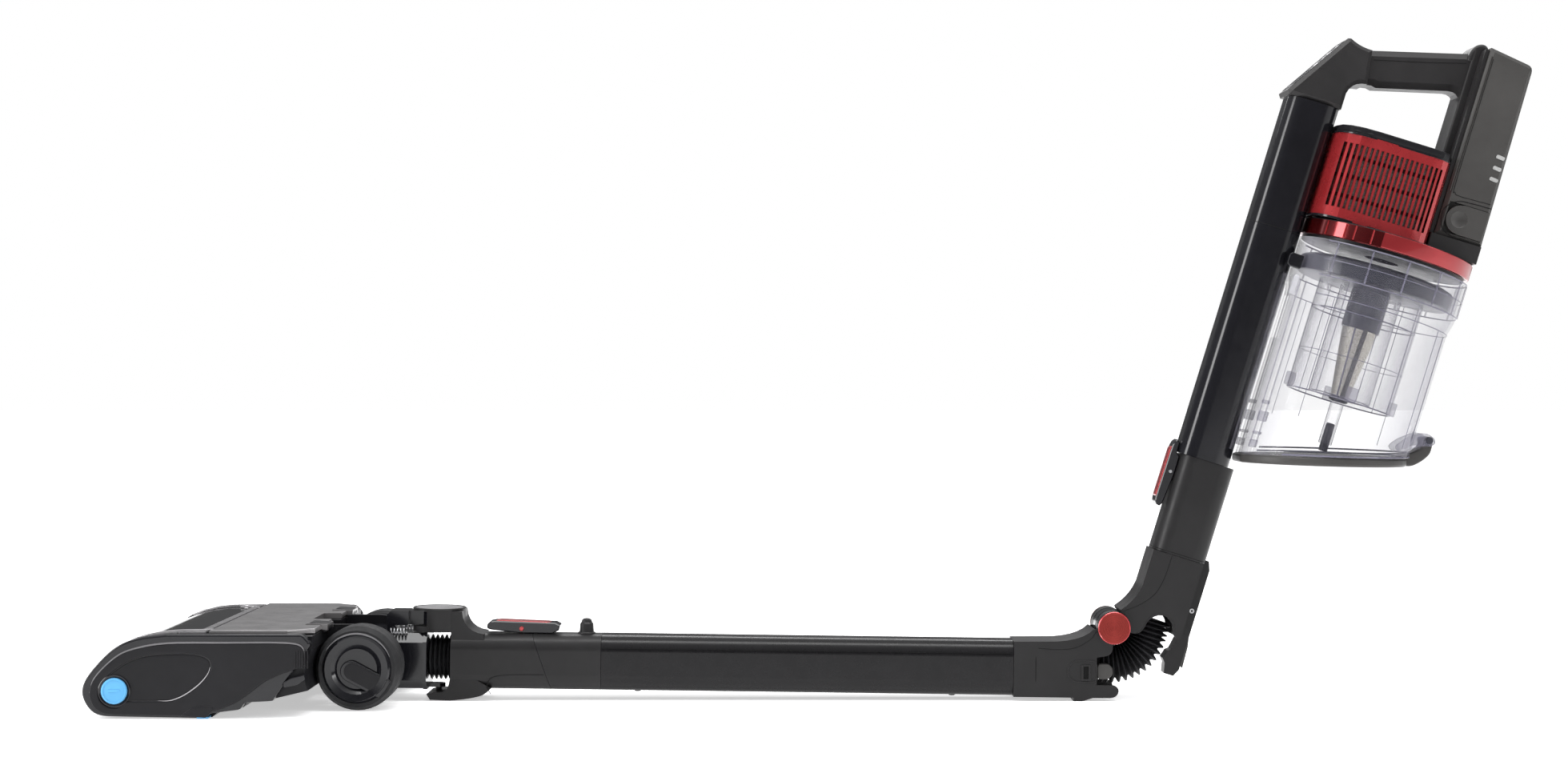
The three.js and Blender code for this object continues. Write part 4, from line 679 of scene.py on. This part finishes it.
# painted highlight arcs as radius, first and last angle, height over the face, breadth
HIGHLIGHT_ARCS = ((18.6, -8, 66, 0.2, 1.5), (18.6, 232, 300, 0.2, 1.3), (22.5, 120, 236, 0.2, 0.5),
        (27.8, 20, 150, 3.1, 0.6))
for word, side in SIDES:
    name, mount = f"wheel_face_{word}", (HEAD, f"wheel_{word}")
    plate(name + "_bar", mount, GLOSS, [BAR], *span(side, WHEEL_FACE - 2, WHEEL_FACE + 2.4), bevel=0.9,
          rounds=3)
    plate(name + "_inlay", mount, SATIN, [INLAY], *span(side, WHEEL_FACE, WHEEL_FACE + 2.9), bevel=0.3,
          slot="gloss_black")
    for k, (radius, first, last, over, broad) in enumerate(HIGHLIGHT_ARCS):
        arc = [polar(radius, a, *AXLE) for a in range(first, last + 1, 4)]
        arc = on_side(arc, side * (WHEEL_FACE + over))
        sweep(f"{name}_highlight_arc{k}", mount, PAINTED_HIGHLIGHT, arc, taper(broad, 0.1, 0.7), 12, flat=0.35)
    for i in range(4):
        y = side * (52 + 6.4 * i)
        lathe(f"{name}_tread{i}", mount, TYRE,
              [(32.4, y - 1.9), (32.98, y - 1.5), (32.98, y + 1.5), (32.4, y + 1.9)], AXLE, "Y", 64)

# springs behind the head that hold the neck up
SPRING_TURNS, SPRING_STEPS = 5, 14
for word, side in SIDES:
    coil = []
    for i in range(SPRING_TURNS * SPRING_STEPS + 1):
        t = i / (SPRING_TURNS * SPRING_STEPS)
        coil.append((137.5 + 13 * (t - 0.5), *polar(2.4, 360 * SPRING_TURNS * t, side * 18.5, 56.2)))
    sweep(f"tilt_spring_{word}", (HEAD, "neck"), STEEL, coil, 0.55)


# ---- bellows
def bellows_mesh(name, path, low, high, ridges, inside=0.0):
    """Folded tube along a path in XZ: path(t) gives a ring's centre and the angle its width lies at."""
    rings = []
    count = ridges * 8
    for i in range(count + 1):
        x, z, angle = path(i / count)
        ridge = abs(math.cos(math.pi * ((i / count * ridges) % 1.0))) ** 2.2
        r = high - (high - low) * ridge
        ring = []
        for j in range(36):
            a = 2 * math.pi * j / 36
            reach = r + inside * max(0.0, -math.cos(a))
            across = reach * math.cos(a)
            ring.append((x + across * math.cos(angle), r * math.sin(a), z + across * math.sin(angle)))
        rings.append(ring)
    return grid_mesh(name, rings)


def neck_path(t):
    return -551.6 + 18.4 * t, -32.9, math.pi / 2


neck_bellows = place("neck_bellows_folds", bellows_mesh("neck_bellows_folds", neck_path, 14.6, 18.2, 5),
                     (WAND, None), RUBBER)
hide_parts("neck_bellows")
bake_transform(neck_bellows)

ARC_R, ARC_LEAD, ARC_TAIL = 31.2, 13.0, 15.0
ARC_START, ARC_END = math.radians(-90.75), math.radians(-17.2)


def fold_path(t):
    """Round the hinge, with a straight run into either housing."""
    bend = ARC_R * (ARC_END - ARC_START)
    s = t * (ARC_LEAD + bend + ARC_TAIL)
    a = min(max(ARC_START + (s - ARC_LEAD) / ARC_R, ARC_START), ARC_END)
    past = min(s - ARC_LEAD, 0) + max(s - ARC_LEAD - bend, 0)
    return ARC_R * math.cos(a) - past * math.sin(a), ARC_R * math.sin(a) + past * math.cos(a), a


fold_bellows = place("fold_bellows_folds",
                     bellows_mesh("fold_bellows_folds", fold_path, 11.6, 15.9, 17, inside=1.9),
                     (FOLD, None), RUBBER)
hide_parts("fold_bellows")
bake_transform(fold_bellows)

# ---- nozzle socket and lower wand
WAND_FACE = 20.98
lathe("turret_rim", ON_SOCKET, SHELL, [(19.2, 6.3), (21.4, 6.3), (21.6, 6.9), (21.0, 7.7), (19.6, 7.7),
                                       (19.2, 7.2), (19.2, 6.3)], (-544.5, 0), sides=64)
socket_seam = through([(-500, -60), (-503, -54), (-500, -47.5), (-490, -44.8), (-476, -44.2),
                       (-457.5, -44)], 8)
for word, side in SIDES:
    sweep(f"socket_seam_{word}", ON_SOCKET, DARK, on_side(socket_seam, side * 20.95), 0.28, 6)


def pin_profile(flat, waist, y0, y1):
    return [(0, y0), (flat, y0), (waist, (y0 + y1) / 2), (flat, y1), (0, y1)]


NOZZLE_LEVER = (WAND, "nozzle_lever")
nozzle_inlay = fillet([(-498, -4.2), (-453, -5.2), (-452.6, -3.6), (-456, -2.9), (-495, -1.9),
                       (-498.4, -2.4)], 0.7, 3)
plate("nozzle_lever_inlay", NOZZLE_LEVER, RED, [nozzle_inlay], -7.4, 7.4, bevel=0.8)
for word, side in SIDES:
    pin = pin_profile(1.5, 1.9, *span(side, 9.3, 10.6))
    lathe(f"nozzle_lever_pin_{word}", NOZZLE_LEVER, RED, pin, (-477, -8.4), "Y", 20)

band_seam = [(-62, y, z) for y, z in panel(-21.05, 21.05, -57.0, -12.4, 14.95, 6)]
sweep("tube_band_seam", ON_LOWER, DARK, band_seam, 0.26, 6, closed=True)
# painted shade: a black line standing in for the shade in the tube's side groove
for word, side in SIDES:
    groove = [(x, side * WAND_FACE, -22.2) for x in range(-411, -79, 10)]
    sweep(f"tube_groove_shade_{word}", ON_LOWER, DARK, groove, 0.22, 6)
for i, x in enumerate((-383, -128)):
    lathe(f"under_stud{i}", ON_LOWER, SHELL, [(0, -58.6), (2.2, -58.6), (2.6, -58.1), (2.6, -56.6),
                                              (0, -56.6)], (x, 0), sides=20)
lathe("parking_collar", ON_LOWER, SHELL, [(5.9, -12.2), (7.2, -12.2), (6.9, -11.4), (6.2, -10.9), (5.9, -11)],
      (-425, 0), sides=32)

# ---- fold hinge
CAP_FACE = 27.0
recess = fillet([(-12.6, -26.5), (-31, -26.5), (-36.5, -31), (-36.5, -40), (-31, -44.6), (-12.6, -44.6)],
                4.5, 5)
recess_inner = fillet([(-13.6, -27.6), (-30.4, -27.6), (-35.3, -31.6), (-35.3, -39.4), (-30.4, -43.5),
                       (-13.6, -43.5)], 4.2, 5)
slot_outer = panel(-25.6, -17.8, -30.2, -43.0, 1.2, 3)
slot_inner = panel(-23.6, -19.6, -31.6, -41.6, 0.7, 3)
lock_pad = fillet([(-12.4, -29.5), (-3.5, -29.5), (0.2, -33), (0.2, -38.5), (-3.5, -42.2), (-12.4, -42.2)],
                  3.6, 5)
lower_fairing = through([(-60, -17.5), (-44, -18.4), (-30, -16.6), (-18, -9.6), (-13.6, -3)], 8)
upper_fairing = through([(4, 15.2), (14, 23), (23.6, 35), (27.4, 50), (28, 69)], 8)
arch = through([(19.4, 1.4), (22.4, 5), (26.5, 17.6), (36, 21.6), (45, 17.8), (47.4, 9.5)], 8)
for word, side in SIDES:
    rim = [(r, side * (CAP_FACE + out)) for r, out in (
        (12.2, -0.3), (13.05, -0.5), (13.05, -0.1), (12.6, 0.35), (12.2, 0.1), (12.2, -0.3))]
    lathe(f"hinge_cap_rim_{word}", ON_FOLD, RED, rim, axis="Y", sides=64)
    for k, y in enumerate((side * 7.8, side * 23.6)):
        lathe(f"barrel_line_{word}{k}", ON_FOLD, DARK,
              [(12.9, y - 0.3), (13.12, y - 0.2), (13.12, y + 0.2), (12.9, y + 0.3)], axis="Y", sides=64)
    plate(f"lock_frame_{word}", ON_LOWER, SHELL, [recess, recess_inner], *span(side, 20.6, 21.5), bevel=0.3)
    plate(f"lock_slot_{word}", ON_LOWER, SHELL, [slot_outer, slot_inner], *span(side, 20.8, 22.0), bevel=0.35)
    # painted shade: a black sheet in the slot's opening
    plate(f"lock_slot_dark_{word}", ON_LOWER, DARK, [slot_inner], *span(side, 20.7, 21.1), bevel=0.1)
    plate(f"lock_pad_{word}", ON_LOWER, CHARCOAL, [lock_pad], *span(side, 14.5, 19.4), bevel=1.0, rounds=3)
    sweep(f"fairing_seam_{word}", ON_LOWER, DARK, on_side(lower_fairing, side * WAND_FACE), 0.24, 6)
    sweep(f"upper_fairing_seam_{word}", ON_UPPER, DARK, on_side(upper_fairing, side * WAND_FACE), 0.24, 6)
    sweep(f"arch_lip_{word}", ON_UPPER, SHELL, on_side(arch, side * 20.9), 0.55)

# ---- upper wand levers
HAND_LEVER, FOLD_LEVER = (UPPER, "hand_lever"), (UPPER, "fold_lever")
hand_inlay = fillet([(2.7, 112), (4.4, 109.6), (5.2, 112), (5.2, 151), (4.6, 154.4), (3.0, 152)], 0.7, 3)
plate("hand_lever_inlay", HAND_LEVER, RED, [hand_inlay], -7.4, 7.4, bevel=0.8)
for word, side in SIDES:
    pin = pin_profile(1.2, 1.5, *span(side, 9.3, 10.6))
    lathe(f"hand_lever_pin_{word}", HAND_LEVER, STEEL, pin, (8.4, 133.5), "Y", 20)
    y0, y1 = (y * 0.8 for y in span(side, 9.3, 10.6))
    eyelet = [(0.9, y0), (1.9, y0), (2.1, (y0 + y1) / 2), (1.9, y1), (0.9, y1), (0.9, y0)]
    lathe(f"fold_lever_pin_{word}", FOLD_LEVER, STEEL, eyelet, (58.6, 30.7), "Y", 20)
fold_grip = fillet([(61.6, -14), (65.2, -16), (64.4, 2), (62.0, 14)], 0.8, 3)
plate("fold_lever_grip", FOLD_LEVER, CHARCOAL, [fold_grip], -7, 7, bevel=0.5, slot="filter_felt")
for name, mount, z, loop in (("tube_seam_high", ON_HAND, 346.2, panel(9.45, 52.05, -22.05, 22.05, 16, 6)),
                             ("tube_seam_low", ON_UPPER, 71.6, panel(12.45, 57.05, -21.05, 21.05, 15, 6))):
    sweep(name, mount, DARK, [(x, y, z) for x, y in loop], 0.26, 6, closed=True)

# ---- motor housing and red band
CUP_X = 123.0
CUP_AXIS = (CUP_X, 0)


def motor_plan(shrink):
    """Outline of the motor housing seen from above, inset by shrink."""
    front, rear, half = 52.6 + shrink, 146 - shrink, 47 - shrink

    def bend(a, b, c, steps=8):
        a, b, c = Vector(a), Vector(b), Vector(c)
        along = [k / steps for k in range(steps)]
        return [tuple(a * (1 - t) ** 2 + b * 2 * t * (1 - t) + c * t * t) for t in along]
    return (bend((rear - 16, -half), (rear, -half), (rear, 20 - half))
            + bend((rear, half - 20), (rear, half), (rear - 16, half))
            + bend((front + 30, half), (front, half), (front, half - 34))
            + bend((front, 34 - half), (front, -half), (front + 30, -half)))


def motor_ring(name, material, outer, inner, low, high):
    plate(name, ON_HAND, material, [motor_plan(outer), motor_plan(inner)], low, high, bevel=0.15, plane="XY")


motor_ring("motor_screen", PERF_GREY, 3.4, 4.0, 374, 426)
for i, z in enumerate((384, 400, 416)):
    motor_ring(f"motor_bar{i}", DARK, 2.7, 3.6, z - 1.5, z + 1.5)
motor_ring("motor_black_line", GLOSS, -0.35, 2.0, 363.8, 365.6)
motor_ring("motor_top_line", GLOSS, -0.3, 2.0, 433.2, 434.6)
DOME_FOOT, DOME_RISE, DOME_STEPS = 436.5, 5.4, 8
dome_rings = []
for i in range(DOME_STEPS + 1):
    t = i / DOME_STEPS * math.pi / 2
    z = DOME_FOOT + DOME_RISE * math.sin(t)
    dome_rings.append([(x, y, z) for x, y in motor_plan(0.6 + 26 * (1 - math.cos(t)))])
place("motor_cap_dome", grid_mesh("motor_cap_dome", dome_rings), ON_HAND, SATIN)

band = lathe("band_ring", ON_HAND, RED_DEEP, [(60, 349.7), (68.6, 349.7), (69.3, 350.4), (69.3, 362.2),
                                              (68.6, 362.9), (60, 362.9), (60, 349.7)], CUP_AXIS, sides=96)
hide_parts("red_band")
lathe("band_plate", ON_HAND, RED_PLATE, [(66, 350.4), (69.9, 350.4), (70.3, 351), (70.3, 361.8),
                                         (69.9, 362.4), (66, 362.4), (66, 350.4)], CUP_AXIS, sides=72,
      arc=(-105, 105))
lathe("band_top_skin", ON_HAND, SATIN, [(30, 362.2), (69, 362.2), (69.2, 362.7), (68.8, 363.1), (30, 363.1),
                                        (30, 362.2)], CUP_AXIS, sides=72)
lathe("band_floor", ON_HAND, SATIN, band_of(14, 66.5, 347.6, 350.5), CUP_AXIS, sides=72)
# raised flutes in lighter red: their colour paints the vertical highlights on the dark ring
for side in (-1, 1):
    for k, a in enumerate((-112, -124, -131, -146)):
        flute = upright(*polar(69.4, -side * a, *CUP_AXIS), (350.6, 354, 358, 362))
        sweep(f"band_highlight_flute_{k}_{'near' if side < 0 else 'far'}", ON_HAND, RED, flute, 0.7)

# ---- battery and grip
for i, z in enumerate((451, 441.8, 432.6)):
    led = fillet([(178.4, z - 1.6), (185.4, z - 2.3), (185.9, z + 0.7), (178.9, z + 1.4)], 1.4, 5)
    plate(f"battery_led{i}", ON_BATTERY, LED, [led], -35.5, -34.7, bevel=0.2)
BATTERY_FACE = 35.05
latch_groove = through([(187.5, 409.2), (172, 408.8), (160, 407.2), (151.8, 400), (150.9, 392),
                        (154.2, 383.4), (163, 378.9), (175, 378.6), (188.2, 378.8)])
panel_seam = through([(153.4, 524), (153.6, 470), (154.0, 418), (155.6, 413.6), (160, 411.6),
                      (185.6, 412.4)], 8)
front_seam = through([(151.4, 526), (151.4, 470), (151.4, 414)])
for word, side in SIDES:
    face = side * BATTERY_FACE
    sweep(f"battery_latch_groove_{word}", ON_BATTERY, DARK, on_side(latch_groove, face), 0.34, 6)
    sweep(f"battery_panel_seam_{word}", ON_BATTERY, DARK, on_side(panel_seam, face), 0.26, 6)
    sweep(f"battery_front_seam_{word}", ON_BATTERY, CHARCOAL, on_side(front_seam, side * 34.9), 0.5)
hump = through([(138.5, 527.6), (141, 533.5), (144.6, 536.4), (148.4, 537), (151.5, 535.2), (152.6, 531),
                (152.4, 524), (139, 520)], 4, True)
plate("dock_hump", ON_HAND, BODY, [hump], -16.5, 16.5, bevel=2.6, rounds=3)
grip_seam = through([(66, 499), (84, 503.6), (110, 510.4), (138, 518.4)], 8)
for word, side in SIDES:
    sweep(f"grip_seam_{word}", ON_HAND, DARK, on_side(grip_seam, side * 15.05), 0.24, 6)

# display: bezel line round the light panel, button rings, dark glass
bezel = [panel(3.2, 60.2, -17.8, 17.8, 2.4), panel(4.2, 59.2, -16.8, 16.8, 1.8)]
plate("display_bezel", ON_DISPLAY, GLOSS, bezel, -0.6, 0.35, bevel=0.2, plane="XY")
for word, x in (("power", 52), ("mode", 38)):
    lathe(f"{word}_ring", ON_DISPLAY, TRIM, [(4.95, -0.2), (5.9, -0.2), (5.8, 0.3), (5.3, 0.45), (4.95, 0.3),
                                             (4.95, -0.2)], (x, 0), sides=40)
plate("display_glass", ON_DISPLAY, GLOSS, [panel(9, 28, -8, 8, 2.5, 5)], -0.5, 0.25, bevel=0.15, plane="XY")

# ---- dust cup
LID_SLOPE = math.radians(15.6)


def lid_z(x, above):
    """Height over the sloping line of the lid."""
    return 156.5 + (x - 56.5) * math.tan(LID_SLOPE) + above


# raised beads of the cup; their dark colour is painted shade for the refraction at the clear flange's edges
for name, radius, z, thick in (("cup_bead_top", 70.2, 346.2, 0.6), ("cup_bead_mid", 70.2, 331.5, 0.3),
                               ("cup_bead_low", 69.9, 318.4, 0.5), ("cup_shoulder", 66.9, 303.4, 0.35)):
    sweep(name, ON_CUP, LINE, [(*polar(radius, a, *CUP_AXIS), z) for a in range(-140, 141, 5)], thick)
for i, a in enumerate(range(-132, 133, 24)):
    rib = upright(*polar(70.3, a, *CUP_AXIS), (319, 326, 333, 346))
    sweep(f"cup_rib{i}", ON_CUP, CLEAR_EDGE, rib, 0.75, 6)


def lid_line(radius, above):
    """Arc of the cup's foot, above the line of the lid as it is at the wall."""
    out = []
    for a in range(-128, 129, 4):
        wall_x = polar(65.4, a, *CUP_AXIS)[0]
        out.append((*polar(radius, a, *CUP_AXIS), lid_z(wall_x, above)))
    return out


sweep("cup_gasket", ON_CUP, RING, lid_line(65.4, 11.5), 0.7)
# painted dark outline along the cup's foot
sweep("cup_foot_bead", ON_CUP, LINE, lid_line(65.4 * 1.018, 8.3), 0.7)

# inner cyclone: shroud rims, inner tube, cone ribs, filter ring and the rod below the cone
# rims of the clear shroud, drawn as painted dark outlines
for name, radius, z, thick in (("shroud_rim", 42.6, 228.6, 0.55), ("shroud_top", 42.6, 297.2, 0.5),
                               ("shroud_mid", 42.9, 262, 0.25)):
    sweep(name, ON_CUP, LINE, [(*p, z) for p in ring_of(radius, *CUP_AXIS, 64)], thick, closed=True)
lathe("inner_tube", ON_CUP, CLEAR, band_of(24.4, 25.4, 231, 321), CUP_AXIS)
# painted dark outline round the inner tube's lower rim
sweep("inner_tube_rim", ON_CUP, LINE, [(*p, 231.2) for p in ring_of(24.9, *CUP_AXIS, 48)], 0.4, closed=True)
CONE_LINE = ((14.7, 289), (12.9, 275), (11.0, 260), (9.1, 245), (7.3, 231))
# two of the cone ribs are painted dark outlines, the other two are charcoal ribs
for i, (a, width, material) in enumerate(((-84, 2.0, CHARCOAL), (-118, 0.7, LINE), (60, 1.3, CHARCOAL),
                                          (118, 0.9, LINE))):
    rib = [(*polar(r, a, *CUP_AXIS), z) for r, z in CONE_LINE]
    sweep(f"cone_rib{i}", ON_CUP, material, rib, width)
lathe("cone_foot", ON_CUP, RING, [(0, 227.4), (6.4, 227.4), (7.9, 228.6), (7.9, 231.6), (7.1, 232.4),
                                  (0, 232.4)], CUP_AXIS, sides=32)
ring = lathe("filter_ring_shape", ON_CUP, RING, [
    (7, 288.2), (14.9, 288.2), (15.6, 289), (15.6, 319.6), (60.6, 321.4), (62.6, 322.6), (62.8, 333.8),
    (61.6, 335.6), (56, 337.6), (7, 337.6), (7, 288.2)], CUP_AXIS, sides=72)
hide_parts("filter_ring")
lathe("shroud_neck", ON_CUP, CLEAR, band_of(41.4, 43, 298, 321), CUP_AXIS)
lathe("rod_tube", ON_CUP, CLEAR, band_of(4.6, 5.4, 192, 226.6), CUP_AXIS, sides=28)
lathe("rod_dark", ON_CUP, RING, [(0, 186), (3.4, 186), (3.6, 187), (3.6, 208.4), (3.0, 209.4), (0, 209.4)],
      CUP_AXIS, sides=28)
for i, (x, y, width) in enumerate(((80.5, 0, 8), (166.5, 0, 7), (CUP_X, 42, 9), (CUP_X, -42, 9))):
    tab = panel(x - width / 2, x + width / 2, 229, 240, 0.8, 3)
    plate(f"shroud_tab{i}", ON_CUP, CLEAR_EDGE, [tab], y - 1, y + 1, bevel=0.3)

# painted shade: dark vertical lines on the clear walls, standing in for the dark edges that refraction shows
for name, radius, angles, low, high, thick in (
        ("shroud_line", 42.8, (0, -36, -128, 180, 36, 128), 229, 320, 0.28),
        ("inner_tube_line", 25.2, (0, -70, 180, 70), 231, 320, 0.28),
        ("cup_line", 66.3, (-40, -125, 40, 125), 205, 303, 0.25),
        ("cup_edge", 66.3, (0,), 214, 303, 0.5),
        ("rod_line", 5.3, (0, 180), 192, 226, 0.25)):
    for i, a in enumerate(angles):
        line = upright(*polar(radius, a, *CUP_AXIS), [low + (high - low) * k / 4 for k in range(5)])
        sweep(f"{name}{i}", ON_CUP, LINE, line, thick, 6)

# front rails of the cup, their fittings and the frosted stop below the latch
for word, side in SIDES:
    for k, x in enumerate((59.2, 63.8)):
        rail = upright(x, side * 31.2, (176, 210, 250, 290, 310))
        sweep(f"cup_rail_{word}{k}", ON_CUP, CLEAR_EDGE, rail, 0.55, 6)
    for k, (z, tall) in enumerate(((171, 7), (182, 3), (193, 9), (207, 4))):
        back = 64.6 + (k % 3) * 0.9
        block = fillet([(59.4, z), (back, z + 0.8), (back, z + tall), (59.4, z + tall - 0.6)], 0.8, 3)
        plate(f"cup_fitting_{word}{k}", ON_CUP, CLEAR_EDGE, [block], *span(side, 24.5, 31.8))
insert = fillet([(53.6, 298), (58.4, 298), (58.4, 313.0), (55, 314.6), (53.6, 312.6)], 1.0, 3)
plate("latch_insert", ON_CUP, FROST, [insert], -31, -24.6, bevel=0.5)
key = fillet([(44.9, 320.4), (47, 318.6), (56.2, 318.6), (56.6, 329.6), (46.6, 330), (44.9, 328)], 1.4)
latch = plate("lid_key_shape", (UPPER, "lid_key"), GLOSS, [key], -31.8, -23.8, bevel=0.9, rounds=3,
              slot="black_shell")
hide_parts("lid_button")

# lid: a thick plate with a rolled lower edge, and the tail that curls up to its hinge
LID_CENTRE = 66.5 / math.cos(LID_SLOPE)
lid_outline = []
for a in range(-180, 180, 5):
    x, y = polar(1, a)
    x, y = LID_CENTRE + 69.6 * x, 67.1 * y
    if x > 1.6:
        lid_outline.append((x, y))
lid_plate = plate("lid_plate", (LID, "lid"), CHARCOAL, [lid_outline], 0.0, 7.0, bevel=2.2, plane="XY",
                  rounds=4)
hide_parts("cup_lid")
tail = through([(176, lid_z(176, 1.0)), (186, lid_z(186, 0.4)), (194, lid_z(194, 0.6)), (200.5, 201.5),
                (204.6, 208), (205.2, 213.4), (204.2, 218.6), (200, 221.6), (196.6, 218.4), (196.4, 213),
                (193.6, 208.6), (190, 205.6), (184, 201.6), (176, 196)], 4, True)
plate("lid_tail", ON_LID, CHARCOAL, [tail], -8.8, 8.8, bevel=1.6, rounds=3)
hook = through([(176, 206), (180, 213), (187, 219), (192, 222.6), (198, 223.6), (203.6, 221.4),
                (205.2, 217.6), (201, 214.4), (194.4, 212.4), (188, 207.4), (182, 203)], 4, True)
for word, side in SIDES:
    plate(f"cup_hook_{word}", ON_CUP, CLEAR_EDGE, [hook], *span(side, 9.6, 13.6), bevel=0.7)
lathe("lid_pin_cap", ON_CUP, RING, [(0, -15.4), (2.6, -15.4), (3.0, -14.9), (3.0, 14.9), (2.6, 15.4),
                                    (0, 15.4)], (200, 219), "Y", 28)

# ---- camera, light and floor
camera_data = bpy.data.cameras.new("camera")
camera_data.sensor_width = 36
camera_data.lens = 57.94
camera_data.shift_y = -13 / 1959
camera_data.clip_end = 60
camera = bpy.data.objects.new("camera", camera_data)
camera.location = (0.448, -2.050, 0.268)
camera.rotation_euler = (math.pi / 2, 0, 0)
bpy.context.scene.collection.objects.link(camera)
bpy.context.scene.camera = camera
bpy.context.scene.view_settings.view_transform = "Standard"
bpy.context.scene.cycles.transparent_max_bounces = 24


def soft_light(name, at, aim, size, power):
    data = bpy.data.lights.new(name, "AREA")
    data.shape = "RECTANGLE"
    data.size, data.size_y = size
    data.energy = power
    o = bpy.data.objects.new(name, data)
    o.location = at
    o.rotation_euler = (Vector(aim) - Vector(at)).to_track_quat("-Z", "Y").to_euler()
    bpy.context.scene.collection.objects.link(o)


soft_light("over", (0.5, -0.4, 2.4), (0.5, 0, 0.2), (2.6, 0.6), 40)
soft_light("left", (-1.9, -0.7, 0.9), (0.5, 0, 0.25), (0.8, 1.8), 48)
soft_light("right", (2.6, -0.9, 1.2), (0.8, 0, 0.25), (0.16, 1.6), 12)
soft_light("behind", (0.6, 2.3, 1.6), (0.6, 0, 0.2), (2.4, 0.6), 18)

world = bpy.data.worlds.new("studio")
bpy.context.scene.world = world
world.use_nodes = True
sky = world.node_tree
backdrop = sky.nodes["Background"]
backdrop.inputs["Color"].default_value = (1, 1, 1, 1)
backdrop.inputs["Strength"].default_value = 1.0
room = sky.nodes.new("ShaderNodeBackground")
direction = sky.nodes.new("ShaderNodeTexCoord")
height = sky.nodes.new("ShaderNodeSeparateXYZ")
link(sky, direction.outputs["Generated"], height.inputs["Vector"])
tone = ramp(sky, height.outputs["Z"], [(0.0, (0.10, 0.10, 0.10)), (0.30, (0.16, 0.16, 0.165)),
                                       (0.55, (0.75, 0.75, 0.77)), (1.0, (1.0, 1.0, 1.0))])
link(sky, tone, room.inputs["Color"])
ray = sky.nodes.new("ShaderNodeLightPath")
mix = sky.nodes.new("ShaderNodeMixShader")
link(sky, ray.outputs["Is Camera Ray"], mix.inputs["Fac"])
link(sky, room.outputs["Background"], mix.inputs[1])
link(sky, backdrop.outputs["Background"], mix.inputs[2])
link(sky, mix.outputs["Shader"], sky.nodes["World Output"].inputs["Surface"])

floor_material, _, floor_shader = tree("studio_floor")
floor_shader.inputs["Base Color"].default_value = (0.93, 0.93, 0.93, 1)
floor_shader.inputs["Roughness"].default_value = 0.6
floor_shader.inputs["Specular IOR Level"].default_value = 0.05
floor_shader.inputs["Emission Color"].default_value = (1, 1, 1, 1)
floor_shader.inputs["Emission Strength"].default_value = 0.5
floor_mesh = bpy.data.meshes.new("floor")
floor_mesh.from_pydata([(-14, -14, 0), (14, -14, 0), (14, 14, 0), (-14, 14, 0)], [], [(0, 1, 2, 3)])
floor_mesh.materials.append(floor_material)
floor = bpy.data.objects.new("floor", floor_mesh)
bpy.context.scene.collection.objects.link(floor)
